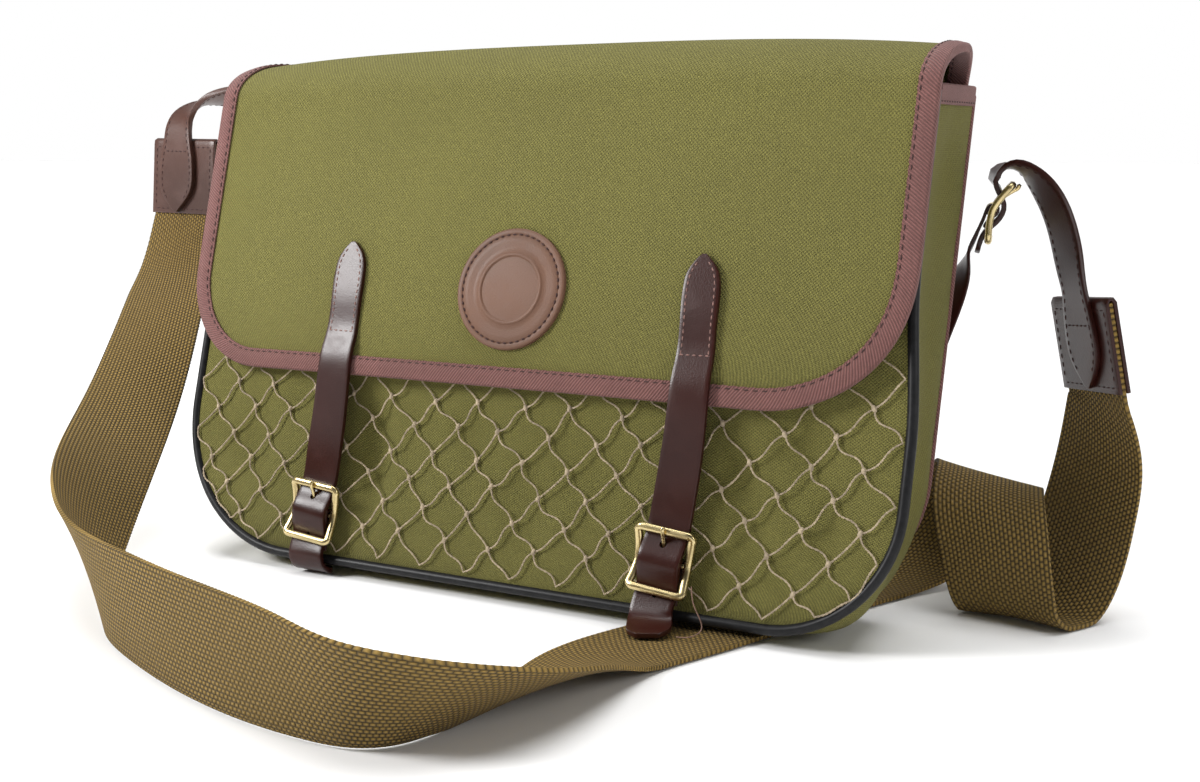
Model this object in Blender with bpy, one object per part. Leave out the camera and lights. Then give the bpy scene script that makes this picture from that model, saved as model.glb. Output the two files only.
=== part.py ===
"""A hunting game bag standing on its base and leaning back.

Canvas walls with piped seams, a netted front, a bound flap, two buckled closure straps and a
webbing shoulder strap on leather ends, draped round the bag. Metres, +Z up, the front towards -Y.
The origin is the middle of the base, on the ground.
"""

import math

import bmesh
import bpy
import numpy
from mathutils import Matrix, Vector

# Canvas body. Heights up a panel, called v, run along its slope from the seam at its foot. Each
# side, left and right, has its distance from the middle and the radius of its lower corner.
FRONT_SIDES = ((0.198, 0.075), (0.204, 0.058))
BACK_SIDES = ((0.196, 0.075), (0.196, 0.058))
FRONT_FOOT_Y = -0.040
BACK_FOOT_Y = 0.024
SEAM_FOOT_Z = 0.0078
FRONT_LEAN = math.radians(15.5)
BACK_LEAN = math.radians(16.3)
MOUTH_HEIGHT = 0.246
BACK_TOP = 0.242
FRONT_BULGE = 0.007
BACK_BULGE = 0.004
CANVAS = 0.0020
GAP = 0.0003

# The right side of the front draws in between two heights
PULL = 0.0065
PULL_FROM = 0.085
PULL_TO = 0.165

# Soft hollows pressed into the front: x, v, depth, radius
DENTS = (
    (-0.062, 0.062, 0.0032, 0.042),
    (0.050, 0.058, 0.0026, 0.042),
    (0.156, 0.062, 0.0026, 0.042),
)

# The base: its flat between two shares of the way from the front seam to the back one, and where
# it lifts off the ground on the right for the webbing that passes under it
BASE_FLAT = (0.28, 0.80)
FLAT_UP_TO = 0.057
LIFTED_FROM = 0.074
LIFT = 0.0026

# Seams
PIPING_RADIUS = 0.0025
BACK_PIPING_RADIUS = 0.0015
SEAM_DEPTH = 0.0005
SEAM_ROOM = 0.0006
SEAM_STEPS = 8

# Flap: s runs up the front as v does, over the crest and down the back. Each side has its reach
# and the radius of its corner, and the right side reaches a little wider than its number.
FLAP_SIDES = ((0.204, 0.050), (0.204, 0.070))
FLAP_WIDER = 0.0035
FLAP_BACK_HALF_WIDTH = 0.1905
FLAP_LOW = 0.0935
FLAP_TURN = 0.244
FLAP_ARCH = 0.090
FLAP_BACK_LEG = 0.020
FLAP_OUT = 0.0065
FLAP_BACK_OUT = 0.0031
FLAP_NARROWS_FROM = 0.35
FLAP_STEPS = (6, 4, 8)
CREST_END_RISE = 0.0195
CREST_MIDDLE_RISE = 0.0270

# Binding tape
TAPE = 0.0009
TAPE_WIDTH = 0.0115
TAPE_ROOM = 0.0007

# Net of knotted cord
NET_MIDDLE_X = 0.003
NET_HALF_COLUMN = 0.01307
NET_HALF_ROW = 0.0138
NET_COLUMNS = 15
NET_ROWS = 7
NET_FOOT = 0.0045
NET_INNER = 0.0009
NET_OUTER = 0.0021
NET_CORD = 0.0007

# Badge
BADGE_X = 0.004
BADGE_V = 0.143
BADGE_RADIUS = 0.030
BADGE_ROOM = 0.0005

# Closure straps and their buckles. In a buckle's own frame a runs across the strap, b down it
# from the middle bar and n out of the bag. Both buckles hang a little turned.
CLOSURE_X = {"left": -0.1012, "right": 0.0985}
CLOSURE_TURN = math.radians(5.5)
STRAP_WIDTH = 0.0205
FOLD_WIDTH = 0.0195
LEATHER = 0.0024
CHAPE = 0.0016
CHAPE_REACH = 0.0185
BAR_V = 0.0235
BAR_N = 0.0056
BAR_RADIUS = 0.0013
FRAME_RADIUS = 0.0016
FRAME_HALF_LENGTH = 0.015
FRAME_END_HALF = 0.0134
FRAME_WAIST_HALF = 0.0122
FRAME_END_N = 0.0093
BILLET_LOW_N = 0.0061
BILLET_HIGH_N = 0.0103
TONGUE_RADIUS = 0.00095

# The free end of each closure strap below its buckle: x, y, z and share of the width
TAILS = {
    "left": (
        (-0.1028, -0.0462, 0.0135, 1.0),
        (-0.1024, -0.0472, 0.0100, 1.0),
        (-0.1018, -0.0464, 0.0062, 1.0),
        (-0.1012, -0.0430, 0.0031, 1.0),
        (-0.1008, -0.0385, 0.0018, 0.86),
        (-0.1006, -0.0350, 0.0016, 0.5),
    ),
    "right": (
        (0.0962, -0.0462, 0.0135, 1.0),
        (0.0965, -0.0490, 0.0092, 1.0),
        (0.0985, -0.0540, 0.0065, 1.0),
        (0.1010, -0.0600, 0.0054, 0.9),
        (0.1030, -0.0645, 0.0050, 0.5),
    ),
}

# Shoulder strap
WEBBING_WIDTH = 0.050
WEBBING = 0.0020
PATCH = 0.0018
PATCH_LENGTH = 0.042
END_STRAP = 0.0034

# The middle line of the webbing from its left end to its right end: x, y, z, then the heading
# and the rise, in degrees, of the line across it towards the selvedge that starts outermost.
# It is straight under the patches, in the first span and the last.
WEBBING_ROWS = (
    (-0.325, 0.112, 0.221, 180, 0),
    (-0.3258, 0.1085, 0.176, 180, 0),
    (-0.3240, 0.1000, 0.1560, 184, -3),
    (-0.296, 0.058, 0.126, 190, 2),
    (-0.253, -0.012, 0.080, 212, 14),
    (-0.200, -0.090, 0.051, 212, 38),
    (-0.158, -0.140, 0.035, 205, 60),
    (-0.122, -0.170, 0.026, 190, 73),
    (-0.088, -0.187, 0.025, 180, 79),
    (-0.050, -0.202, 0.025, 170, 83),
    (-0.005, -0.216, 0.025, 180, 86),
    (0.038, -0.226, 0.025, 262, 80),
    (0.066, -0.227, 0.023, 295, 68),
    (0.088, -0.213, 0.020, 325, 54),
    (0.099, -0.187, 0.015, 338, 40),
    (0.101, -0.156, 0.010, 342, 27),
    (0.097, -0.122, 0.0055, 342, 13),
    (0.097, -0.092, 0.0020, 338, 3),
    (0.109, -0.055, 0.0010, 336, 0),
    (0.124, -0.015, 0.0010, 336, 0),
    (0.140, 0.028, 0.0010, 337, 0),
    (0.156, 0.068, 0.0013, 338, 0),
    (0.174, 0.100, 0.014, 347, -10),
    (0.193, 0.110, 0.037, 358, -16),
    (0.207, 0.099, 0.055, 8, -14),
    (0.215, 0.077, 0.060, 8, -10),
    (0.220, 0.056, 0.053, 3, -2),
    (0.2255, 0.0460, 0.0370, 358, 8),
    (0.2295, 0.0430, 0.0190, 353, 6),
    (0.2340, 0.0470, 0.0052, 349, 2),
    (0.2410, 0.0590, 0.0012, 345, 0),
    (0.2480, 0.0720, 0.0068, 340, -8),
    (0.2540, 0.0830, 0.0220, 337, -10),
    (0.2585, 0.0910, 0.0450, 334, -8),
    (0.262, 0.093, 0.072, 328, -6),
    (0.2605, 0.0902, 0.1015, 311, -5),
    (0.252, 0.088, 0.146, 311, -5),
)

# The tab of each end strap on its patch: how far from the end of the webbing, the shift across
# it and the width
TABS = {
    "left": (
        (0.0430, 0.003, 0.004),
        (0.0370, 0.003, 0.015),
        (0.0280, 0.003, 0.022),
        (0.0160, 0.003, 0.023),
        (0.0040, 0.003, 0.0215),
    ),
    "right": (
        (0.0375, 0.002, 0.004),
        (0.0310, 0.002, 0.015),
        (0.0210, 0.002, 0.022),
        (0.0090, 0.002, 0.022),
        (-0.0060, 0.002, 0.0205),
    ),
}
TAB_FACE = {"left": -1, "right": 1}

# The left end strap from its tab over its arch to the back panel: x, y, z, heading, rise, width
LEFT_END_ROWS = (
    (-0.3272, 0.1100, 0.2350, 174, 2, 0.0205),
    (-0.3195, 0.1155, 0.2440, 152, 0, 0.0205),
    (-0.3050, 0.1210, 0.2490, 122, -18, 0.0205),
    (-0.2840, 0.1250, 0.2500, 100, -36, 0.0205),
    (-0.2600, 0.1240, 0.2475, 95, -52, 0.0205),
    (-0.2350, 0.1170, 0.2410, 150, -62, 0.0205),
    (-0.2130, 0.1080, 0.2310, 172, -50, 0.0205),
    (-0.1980, 0.0990, 0.2180, 178, -36, 0.0205),
)

# Where it lies down on the back panel: x, v, out, heading, rise
LEFT_END_SEWN = (
    (-0.1880, 0.2010, 0.0085, 180, -24),
    (-0.1825, 0.1845, 0.0050, 180, -12),
    (-0.1805, 0.1660, 0.0036, 180, -3),
    (-0.1800, 0.1470, 0.0034, 180, 0),
)

# The right end strap from its tab over its arch to the buckle, where the buckle's own frame
# takes over: x, y, z, heading, rise, width
RIGHT_END_ROWS = (
    (0.2500, 0.0850, 0.1690, 301, -4, 0.0205),
    (0.2455, 0.0862, 0.1860, 297, -2, 0.0205),
    (0.2360, 0.0877, 0.1990, 293, 0, 0.0205),
    (0.2255, 0.0895, 0.2080, 289, 0, 0.0205),
)

# The side buckle: the middle of its bar, and the directions across, down and out of its strap
SIDE_BAR = Vector((0.2080, 0.0900, 0.1880))
SIDE_ACROSS = Vector((0.24, -0.97, 0.0)).normalized()
SIDE_DOWN = Vector((-0.355, -0.088, -0.931)).normalized()
SIDE_OUT = SIDE_ACROSS.cross(SIDE_DOWN).normalized()
SIDE_TAIL = ((0.0175, 0.0063, 1.0), (0.0200, 0.0067, 0.8), (0.0215, 0.0069, 0.4))

# The base strap of the side buckle between its fold and the back panel: x, y, z, heading, rise
SIDE_BASE_ROWS = (
    (0.1930, 0.0800, 0.1530, 325, 0),
    (0.1885, 0.0705, 0.1370, 350, 0),
)
SIDE_BASE_X = 0.184
SIDE_BASE_OUT = 0.0028
SIDE_BASE_FOOT = (0.112, 0.095, 0.078)

MATERIALS = {
    "canvas": ((0.105, 0.105, 0.040), 0.9, 0.0),
    "tape": ((0.155, 0.065, 0.065), 0.85, 0.0),
    "piping": ((0.018, 0.017, 0.018), 0.35, 0.0),
    "net": ((0.30, 0.22, 0.15), 0.9, 0.0),
    "dark_leather": ((0.045, 0.014, 0.012), 0.35, 0.0),
    "badge_leather": ((0.14, 0.062, 0.045), 0.55, 0.0),
    "brass": ((0.50, 0.38, 0.16), 0.3, 1.0),
    "webbing": ((0.20, 0.125, 0.045), 0.95, 0.0),
}


def make_material(name):
    """The named material, made once."""
    material = bpy.data.materials.get(name)
    if material is None:
        colour, roughness, metallic = MATERIALS[name]
        material = bpy.data.materials.new(name)
        material.use_nodes = True
        shader = material.node_tree.nodes["Principled BSDF"]
        shader.inputs["Base Color"].default_value = (*colour, 1.0)
        shader.inputs["Roughness"].default_value = roughness
        shader.inputs["Metallic"].default_value = metallic
        material.diffuse_color = (*colour, 1.0)
    return material


def finish_mesh(name, mesh_builder, material):
    """Turn a closed bmesh into a named object, with its faces pointing out."""
    bmesh.ops.recalc_face_normals(mesh_builder, faces=mesh_builder.faces)
    mesh = bpy.data.meshes.new(name)
    mesh_builder.to_mesh(mesh)
    mesh_builder.free()
    mesh.materials.append(make_material(material))
    mesh.shade_smooth()
    mesh.set_sharp_from_angle(angle=math.radians(40))
    piece = bpy.data.objects.new(name, mesh)
    bpy.context.scene.collection.objects.link(piece)
    return piece


def smooth_rows(rows, steps):
    """Rows read off a natural cubic spline through the given rows, steps to each span.

    The first three columns are a place, whose distances set the spans.
    """
    knots = numpy.array(rows, dtype=float)
    spans = numpy.linalg.norm(numpy.diff(knots[:, :3], axis=0), axis=1)
    count = len(knots)
    system = numpy.eye(count)
    right = numpy.zeros_like(knots)
    for i in range(1, count - 1):
        system[i, i - 1] = spans[i - 1]
        system[i, i] = 2 * (spans[i - 1] + spans[i])
        system[i, i + 1] = spans[i]
        after = (knots[i + 1] - knots[i]) / spans[i]
        before = (knots[i] - knots[i - 1]) / spans[i - 1]
        right[i] = 6 * (after - before)
    bends = numpy.linalg.solve(system, right)
    smooth = []
    for i in range(count - 1):
        for step in range(steps):
            t = step / steps
            u = 1 - t
            bend = (u**3 - u) * bends[i] + (t**3 - t) * bends[i + 1]
            smooth.append(u * knots[i] + t * knots[i + 1] + bend * spans[i] ** 2 / 6)
    smooth.append(knots[-1])
    return smooth


def compass(heading, rise):
    """The direction with a heading from +X towards +Y and a rise, both in degrees."""
    turn = math.radians(heading)
    lift = math.radians(rise)
    return Vector((math.cos(lift) * math.cos(turn), math.cos(lift) * math.sin(turn), math.sin(lift)))


def cloth_wall(name, outer, inner, material):
    """A closed wall between two grids of points that have the same rows and columns."""
    builder = bmesh.new()
    last_row = len(outer) - 1
    last_column = len(outer[0]) - 1
    faces = [[[builder.verts.new(point) for point in row] for row in grid] for grid in (outer, inner)]
    for grid in faces:
        for r in range(last_row):
            for c in range(last_column):
                corners = (grid[r][c], grid[r][c + 1], grid[r + 1][c + 1], grid[r + 1][c])
                builder.faces.new(corners)
    rim = [(0, c) for c in range(last_column)]
    rim += [(r, last_column) for r in range(last_row)]
    rim += [(last_row, c) for c in range(last_column, 0, -1)]
    rim += [(r, 0) for r in range(last_row, 0, -1)]
    for (r1, c1), (r2, c2) in zip(rim, rim[1:] + rim[:1]):
        builder.faces.new((faces[0][r1][c1], faces[0][r2][c2], faces[1][r2][c2], faces[1][r1][c1]))
    return finish_mesh(name, builder, material)


def swept(name, rings, material, closed=False):
    """A solid through rings of points, capped at both ends unless it closes on itself."""
    builder = bmesh.new()
    loops = [[builder.verts.new(point) for point in ring] for ring in rings]
    pairs = list(zip(loops, loops[1:]))
    if closed:
        pairs.append((loops[-1], loops[0]))
    else:
        builder.faces.new(loops[0])
        builder.faces.new(loops[-1])
    for low, high in pairs:
        for i in range(len(low)):
            j = (i + 1) % len(low)
            builder.faces.new((low[i], low[j], high[j], high[i]))
    return finish_mesh(name, builder, material)


def directions(points, closed=False):
    """The direction of travel at each point of a path."""
    last = len(points) - 1
    found = []
    for i in range(len(points)):
        before = points[i - 1] if i or closed else points[0]
        after = points[(i + 1) % len(points)] if i < last or closed else points[last]
        found.append((after - before).normalized())
    return found


def strap(name, sections, thickness, material):
    """A flat strap through sections, each a middle point, a direction across and a width."""
    middles = [section[0] for section in sections]
    rings = []
    for (middle, across, width), along in zip(sections, directions(middles)):
        across = (across - along * across.dot(along)).normalized()
        up = along.cross(across) * thickness / 2
        side = across * width / 2
        rings.append([middle - side - up, middle + side - up, middle + side + up, middle - side + up])
    return swept(name, rings, material)


def tube(name, points, radius, sides, material, closed=False):
    """A round bar along a path, its rings carried along without twist."""
    rings = []
    across = None
    for point, along in zip(points, directions(points, closed)):
        if across is None:
            across = along.orthogonal()
        across = (across - along * across.dot(along)).normalized()
        up = along.cross(across)
        ring = []
        for i in range(sides):
            turn = 2 * math.pi * i / sides
            ring.append(point + (across * math.cos(turn) + up * math.sin(turn)) * radius)
        rings.append(ring)
    return swept(name, rings, material, closed)


def channel(name, path, material):
    """Tape folded round the edge of a canvas: each path entry is the edge, inward and normal."""
    half = CANVAS / 2 + TAPE_ROOM
    outline = (
        (TAPE_WIDTH, half),
        (TAPE_WIDTH, half + TAPE),
        (-TAPE, half + TAPE / 2),
        (-TAPE, -half - TAPE / 2),
        (TAPE_WIDTH, -half - TAPE),
        (TAPE_WIDTH, -half),
        (0.0, -half),
        (0.0, half),
    )
    rings = [[edge + inward * a + normal * b for a, b in outline] for edge, inward, normal in path]
    return swept(name, rings, material)


def block(name, place, size):
    """A hidden box that cuts a slot: its middle and axes come from the 4 by 4 matrix place."""
    builder = bmesh.new()
    bmesh.ops.create_cube(builder, size=1.0, matrix=place @ Matrix.Diagonal((*size, 1.0)))
    cutter = finish_mesh(name, builder, "dark_leather")
    cutter.hide_render = True
    cutter.display_type = "WIRE"
    return cutter


def cut(piece, cutter):
    """Take a hidden cutter out of a piece."""
    modifier = piece.modifiers.new("slot", "BOOLEAN")
    modifier.operation = "DIFFERENCE"
    modifier.object = cutter


def swell(x, v, sides, amount):
    """How far a panel swells out of its plane, which is nothing along its seams."""
    (left, _), (right, _) = sides
    share = (2 * x + left - right) / (left + right)
    height = min(1.0, max(0.0, v / MOUTH_HEIGHT))
    return amount * max(0.0, 1 - share**2) * math.sin(math.pi * height)


def dent(x, v):
    """How far the front is pressed in at a place."""
    depth = 0.0
    for dent_x, dent_v, deep, radius in DENTS:
        apart = math.hypot(x - dent_x, v - dent_v) / radius
        if apart < 1:
            depth += deep * (1 - apart**2) ** 2
    return depth


def right_share(x):
    """How much a change at the right side counts at a place: nothing on the left half."""
    return max(0.0, x / FRONT_SIDES[1][0]) ** 3


def front_point(x, v, out):
    """A point of the leaning front, v up its slope and out in front of its canvas."""
    out += swell(x, v, FRONT_SIDES, FRONT_BULGE)
    rise = min(1.0, max(0.0, (v - PULL_FROM) / (PULL_TO - PULL_FROM)))
    x -= PULL * rise * rise * (3 - 2 * rise) * right_share(x)
    y = FRONT_FOOT_Y + v * math.sin(FRONT_LEAN) - out * math.cos(FRONT_LEAN)
    z = SEAM_FOOT_Z + v * math.cos(FRONT_LEAN) + out * math.sin(FRONT_LEAN)
    return Vector((x, y, z))


def dented_point(x, v, out):
    """A point of the front where its hollows are pressed in."""
    return front_point(x, v, out - dent(x, v))


def back_point(x, v, out):
    """A point of the leaning back, v up its slope and out behind its canvas."""
    out += swell(x, v, BACK_SIDES, BACK_BULGE)
    y = BACK_FOOT_Y + v * math.sin(BACK_LEAN) + out * math.cos(BACK_LEAN)
    z = SEAM_FOOT_Z + v * math.cos(BACK_LEAN) - out * math.sin(BACK_LEAN)
    return Vector((x, y, z))


def reach_at(height, side, inset):
    """How far a panel with a round lower corner reaches to one side, at a height up it."""
    half, radius = side
    drop = max(0.0, radius - height)
    round_part = math.sqrt(max(0.0, (radius - inset) ** 2 - drop**2))
    return half - radius + round_part


def panel_rows(sides, inset, foot, top, corner_steps, steps):
    """Heights up a panel with round lower corners, each with its reach to the left and right."""
    radius = max(sides[0][1], sides[1][1])
    heights = []
    for i in range(corner_steps + 1):
        turn = math.pi / 2 * i / corner_steps
        heights.append(radius - (radius - inset) * math.cos(turn))
    straight = top - foot - radius
    heights += [radius + straight * i / steps for i in range(1, steps + 1)]
    return [
        (foot + height, reach_at(height, sides[0], inset), reach_at(height, sides[1], inset))
        for height in heights
    ]


def panel_grid(rows, columns, place, out):
    """Points across each row of a panel."""
    return [
        [place(-left + (left + right) * c / columns, v, out) for c in range(columns + 1)]
        for v, left, right in rows
    ]


def half_seam(side, grow, side_steps, corner_steps):
    """One side of a seam from the mouth to the base: reach, v and share of base."""
    half, radius = side
    points = []
    for i in range(side_steps):
        height = MOUTH_HEIGHT + (radius - MOUTH_HEIGHT) * i / side_steps
        points.append((half + grow, height, 0.0))
    for i in range(corner_steps + 1):
        turn = math.pi / 2 * (1 - i / corner_steps)
        reach = half - radius + (radius + grow) * math.sin(turn)
        points.append((reach, radius - (radius + grow) * math.cos(turn), math.cos(turn) ** 2))
    return points


def seam_outline(sides, grow, side_steps, corner_steps, base_steps):
    """Points x, v and share of base along a seam, from the left mouth round to the right one."""
    left = [(-x, v, share) for x, v, share in half_seam(sides[0], grow, side_steps, corner_steps)]
    right = half_seam(sides[1], grow, side_steps, corner_steps)[::-1]
    length = right[0][0] - left[-1][0]
    middle = [(left[-1][0] + length * i / base_steps, -grow, 1.0) for i in range(1, base_steps)]
    return left + middle + right


def base_lift(x):
    """How high the outside of the base is above the ground."""
    share = (x - FLAT_UP_TO) / (LIFTED_FROM - FLAT_UP_TO)
    return LIFT * min(1.0, max(0.0, share))


def make_panels():
    """Front and back canvas."""
    rows = panel_rows(FRONT_SIDES, PIPING_RADIUS + SEAM_ROOM, 0.0, MOUTH_HEIGHT, 5, 6)
    outer = panel_grid(rows, 16, dented_point, 0.0)
    inner = panel_grid(rows, 16, dented_point, -CANVAS)
    cloth_wall("front_panel", outer, inner, "canvas")
    rows = panel_rows(BACK_SIDES, BACK_PIPING_RADIUS + SEAM_ROOM, 0.0, BACK_TOP, 5, 4)
    outer = panel_grid(rows, 12, back_point, 0.0)
    inner = panel_grid(rows, 12, back_point, -CANVAS)
    cloth_wall("back_panel", outer, inner, "canvas")


def gusset_grid(grow, lift):
    """Points of the gusset from seam to seam, its base let down to the ground."""
    front = seam_outline(FRONT_SIDES, grow, 4, 5, 12)
    back = seam_outline(BACK_SIDES, grow, 4, 5, 12)
    front_out = -SEAM_DEPTH - PIPING_RADIUS - GAP
    back_out = -SEAM_DEPTH - BACK_PIPING_RADIUS - GAP
    grid = []
    for (x1, v1, share), (x2, v2, _) in zip(front, back):
        start = front_point(x1, v1, front_out)
        end = back_point(x2, v2, back_out)
        row = []
        for across in (0.0, *BASE_FLAT, 1.0):
            point = start.lerp(end, across)
            if 0 < across < 1:
                point.z += share * (base_lift(point.x) + lift - point.z)
            row.append(point)
        grid.append(row)
    return grid


def make_gusset():
    """The strip that makes the sides and the base, with the flat that the bag rests on."""
    outside = CANVAS / 4
    cloth_wall("gusset", gusset_grid(outside, 0.0), gusset_grid(outside - CANVAS, CANVAS), "canvas")


def make_piping():
    """Piping in the front seam and the thinner cord in the back seam."""
    seam = seam_outline(FRONT_SIDES, 0.0, 5, SEAM_STEPS, 12)
    front = [front_point(x, v, -SEAM_DEPTH) for x, v, _ in seam]
    tube("front_piping", front, PIPING_RADIUS, 6, "piping")
    seam = seam_outline(BACK_SIDES, 0.0, 4, SEAM_STEPS, 8)
    back = [back_point(x, v, -SEAM_DEPTH) for x, v, _ in seam]
    tube("back_piping", back, BACK_PIPING_RADIUS, 6, "tape")


def make_mouth_bindings():
    """Tape round the top edge of the gusset on each side."""
    middle = CANVAS / 4
    down = Vector((0, -math.sin(FRONT_LEAN), -math.cos(FRONT_LEAN)))
    for index, (side, sign) in enumerate((("left", -1), ("right", 1))):
        front_x = sign * (FRONT_SIDES[index][0] - middle)
        back_x = sign * (BACK_SIDES[index][0] - middle)
        start = front_point(front_x, MOUTH_HEIGHT + GAP, -0.0037)
        end = back_point(back_x, MOUTH_HEIGHT + GAP, -0.0030)
        normal = (end - start).cross(down).normalized()
        path = [(start.lerp(end, i / 4), down, normal) for i in range(5)]
        channel("mouth_binding_" + side, path, "tape")


def flap_frame(x, s):
    """The middle of the flap's cloth at a place, and its outward normal there."""
    front_x = x + FLAP_WIDER * right_share(x)
    if s <= FLAP_TURN:
        along = Vector((0, math.sin(FRONT_LEAN), math.cos(FRONT_LEAN)))
        point = front_point(front_x, s, FLAP_OUT)
    elif s >= FLAP_TURN + FLAP_ARCH:
        along = -Vector((0, math.sin(BACK_LEAN), math.cos(BACK_LEAN)))
        point = back_point(x, 2 * FLAP_TURN + FLAP_ARCH - s, FLAP_BACK_OUT)
    else:
        turn = math.pi * (s - FLAP_TURN) / FLAP_ARCH
        start = front_point(front_x, FLAP_TURN, FLAP_OUT)
        end = back_point(x, FLAP_TURN, FLAP_BACK_OUT)
        middle_share = max(0.0, 1 - abs(x / FLAP_SIDES[0][0]) ** 3)
        rise = CREST_END_RISE + (CREST_MIDDLE_RISE - CREST_END_RISE) * middle_share
        up = Vector((0, math.sin(FRONT_LEAN), math.cos(FRONT_LEAN))) * rise
        reach = (end - start) / 2
        point = (start + end) / 2 - reach * math.cos(turn) + up * math.sin(turn)
        along = (reach * math.sin(turn) + up * math.cos(turn)).normalized()
    return point, Vector((0, -along.z, along.y)).normalized()


def flap_point(x, s, out):
    """A point of the flap, out from the middle of its cloth."""
    point, normal = flap_frame(x, s)
    return point + normal * out


def flap_half_width(s):
    """Half the flap's width, which narrows over the crest to its seam on the back."""
    share = ((s - FLAP_TURN) / FLAP_ARCH - FLAP_NARROWS_FROM) / (1 - FLAP_NARROWS_FROM)
    share = min(1.0, max(0.0, share))
    share = share * share * (3 - 2 * share)
    half = FLAP_SIDES[0][0]
    return half + (FLAP_BACK_HALF_WIDTH - half) * share


def flap_heights():
    """Values of s above the flap's lower corners, up, over and down to its seam."""
    _, top_steps, arch_steps = FLAP_STEPS
    start = FLAP_LOW + FLAP_SIDES[1][1]
    heights = [start + (FLAP_TURN - start) * i / top_steps for i in range(1, top_steps + 1)]
    heights += [FLAP_TURN + FLAP_ARCH * i / arch_steps for i in range(1, arch_steps + 1)]
    return heights + [FLAP_TURN + FLAP_ARCH + FLAP_BACK_LEG]


def flap_rows(inset):
    """Rows across the flap, in from its edge, with round corners at the front."""
    rows = panel_rows(FLAP_SIDES, inset, FLAP_LOW, FLAP_TURN, FLAP_STEPS[0], 1)[:-1]
    upper = [(s, flap_half_width(s) - inset) for s in flap_heights()]
    return rows + [(s, half, half) for s, half in upper]


def make_flap():
    """The flap's canvas."""
    rows = flap_rows(TAPE_ROOM)
    outer = panel_grid(rows, 12, flap_point, CANVAS / 2)
    inner = panel_grid(rows, 12, flap_point, -CANVAS / 2)
    cloth_wall("flap", outer, inner, "canvas")


def make_flap_binding():
    """Tape round the flap's sides and front edge."""
    rows = flap_rows(0.0)
    _, base_left, base_right = rows[0]
    outline = [(-left, s) for s, left, _ in reversed(rows)]
    outline += [((base_left + base_right) * i / 12 - base_left, FLAP_LOW) for i in range(1, 12)]
    outline += [(right, s) for s, _, right in rows]
    flat = [Vector((x, s, 0)) for x, s in outline]
    step = 0.0005
    path = []
    for place, along in zip(flat, directions(flat)):
        edge, normal = flap_frame(place.x, place.y)
        inner = place + Vector((-along.y, along.x, 0)) * step
        inward = (flap_frame(inner.x, inner.y)[0] - edge).normalized()
        normal = (normal - inward * normal.dot(inward)).normalized()
        path.append((edge, inward, normal))
    channel("flap_binding", path, "tape")


def inside_corner(x, v, inset):
    """A place of the front moved in, if need be, to stay inside its round lower corners."""
    half, radius = FRONT_SIDES[1 if x > 0 else 0]
    reach = radius - inset
    outward = min(abs(x), half - inset)
    dx = outward - half + radius
    dv = radius - v
    apart = math.hypot(dx, dv)
    if dx > 0 and dv > 0 and apart > reach:
        outward = half - radius + dx * reach / apart
        v = radius - dv * reach / apart
    return math.copysign(outward, x), v


def make_net():
    """The net: each mesh is a diamond between four knots, and every diamond is cut through."""
    builder = bmesh.new()
    knots = {}

    def place(i, j):
        """The even place of a corner of the net, in half columns and half rows."""
        return NET_MIDDLE_X + i * NET_HALF_COLUMN, NET_FOOT + j * NET_HALF_ROW

    def knot(i, j):
        """The corner of the net in half columns and half rows, made once."""
        if (i, j) not in knots:
            x, v = inside_corner(*place(i, j), 0.0042)
            knots[(i, j)] = builder.verts.new((x, v, 0.0))
        return knots[(i, j)]

    for i in range(-NET_COLUMNS, NET_COLUMNS + 1):
        for j in range(NET_ROWS + 1):
            if (i + j) % 2 or math.dist(inside_corner(*place(i, j), 0.004), place(i, j)) > 0.004:
                continue
            ring = [(i - 1, j), (i, j - 1), (i + 1, j), (i, j + 1)]
            ring = [(a, b) for a, b in ring if abs(a) <= NET_COLUMNS and 0 <= b <= NET_ROWS]
            if len(ring) > 2:
                builder.faces.new([knot(a, b) for a, b in ring])
            elif len(ring) == 2:
                builder.faces.new([knot(i, j)] + [knot(a, b) for a, b in ring])
    bmesh.ops.recalc_face_normals(builder, faces=builder.faces)
    holes = list(builder.faces)
    bmesh.ops.inset_individual(builder, faces=holes, thickness=NET_CORD, use_even_offset=True)
    bmesh.ops.delete(builder, geom=holes, context="FACES")
    flat_faces = list(builder.faces)
    edge_loops = [edge for edge in builder.edges if len(edge.link_faces) == 1]
    outer = {}
    for vert in list(builder.verts):
        outer[vert] = builder.verts.new(front_point(vert.co.x, vert.co.y, NET_OUTER - dent(*vert.co.xy)))
    for face in flat_faces:
        builder.faces.new([outer[vert] for vert in face.verts])
    for edge in edge_loops:
        first, second = edge.verts
        builder.faces.new((first, second, outer[second], outer[first]))
    for vert in outer:
        vert.co = front_point(vert.co.x, vert.co.y, NET_INNER - dent(*vert.co.xy))
    finish_mesh("net", builder, "net")


def make_badge():
    """The round leather badge with one raised ring, curved as the flap under it is."""
    low = CANVAS / 2 + BADGE_ROOM
    face = low + 0.0020
    profile = (
        (0.0080, low),
        (0.0190, low),
        (BADGE_RADIUS, low),
        (BADGE_RADIUS, face - 0.0004),
        (BADGE_RADIUS - 0.0005, face),
        (0.0190, face),
        (0.0186, face + 0.0005),
        (0.0172, face + 0.0005),
        (0.0168, face),
        (0.0080, face),
    )
    sides = 24
    rings = []
    for radius, out in profile:
        ring = []
        for i in range(sides):
            turn = 2 * math.pi * i / sides
            x = BADGE_X + radius * math.cos(turn)
            ring.append(flap_point(x, BADGE_V + radius * math.sin(turn), out))
        rings.append(ring)
    swept("badge", rings, "badge_leather")


def billet_n(b):
    """How far out the middle of a billet runs, b past the bar of its buckle."""
    share = min(1.0, abs(b) / FRAME_HALF_LENGTH)
    return BILLET_LOW_N + (BILLET_HIGH_N - BILLET_LOW_N) * math.cos(share * math.pi / 2) ** 2


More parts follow.
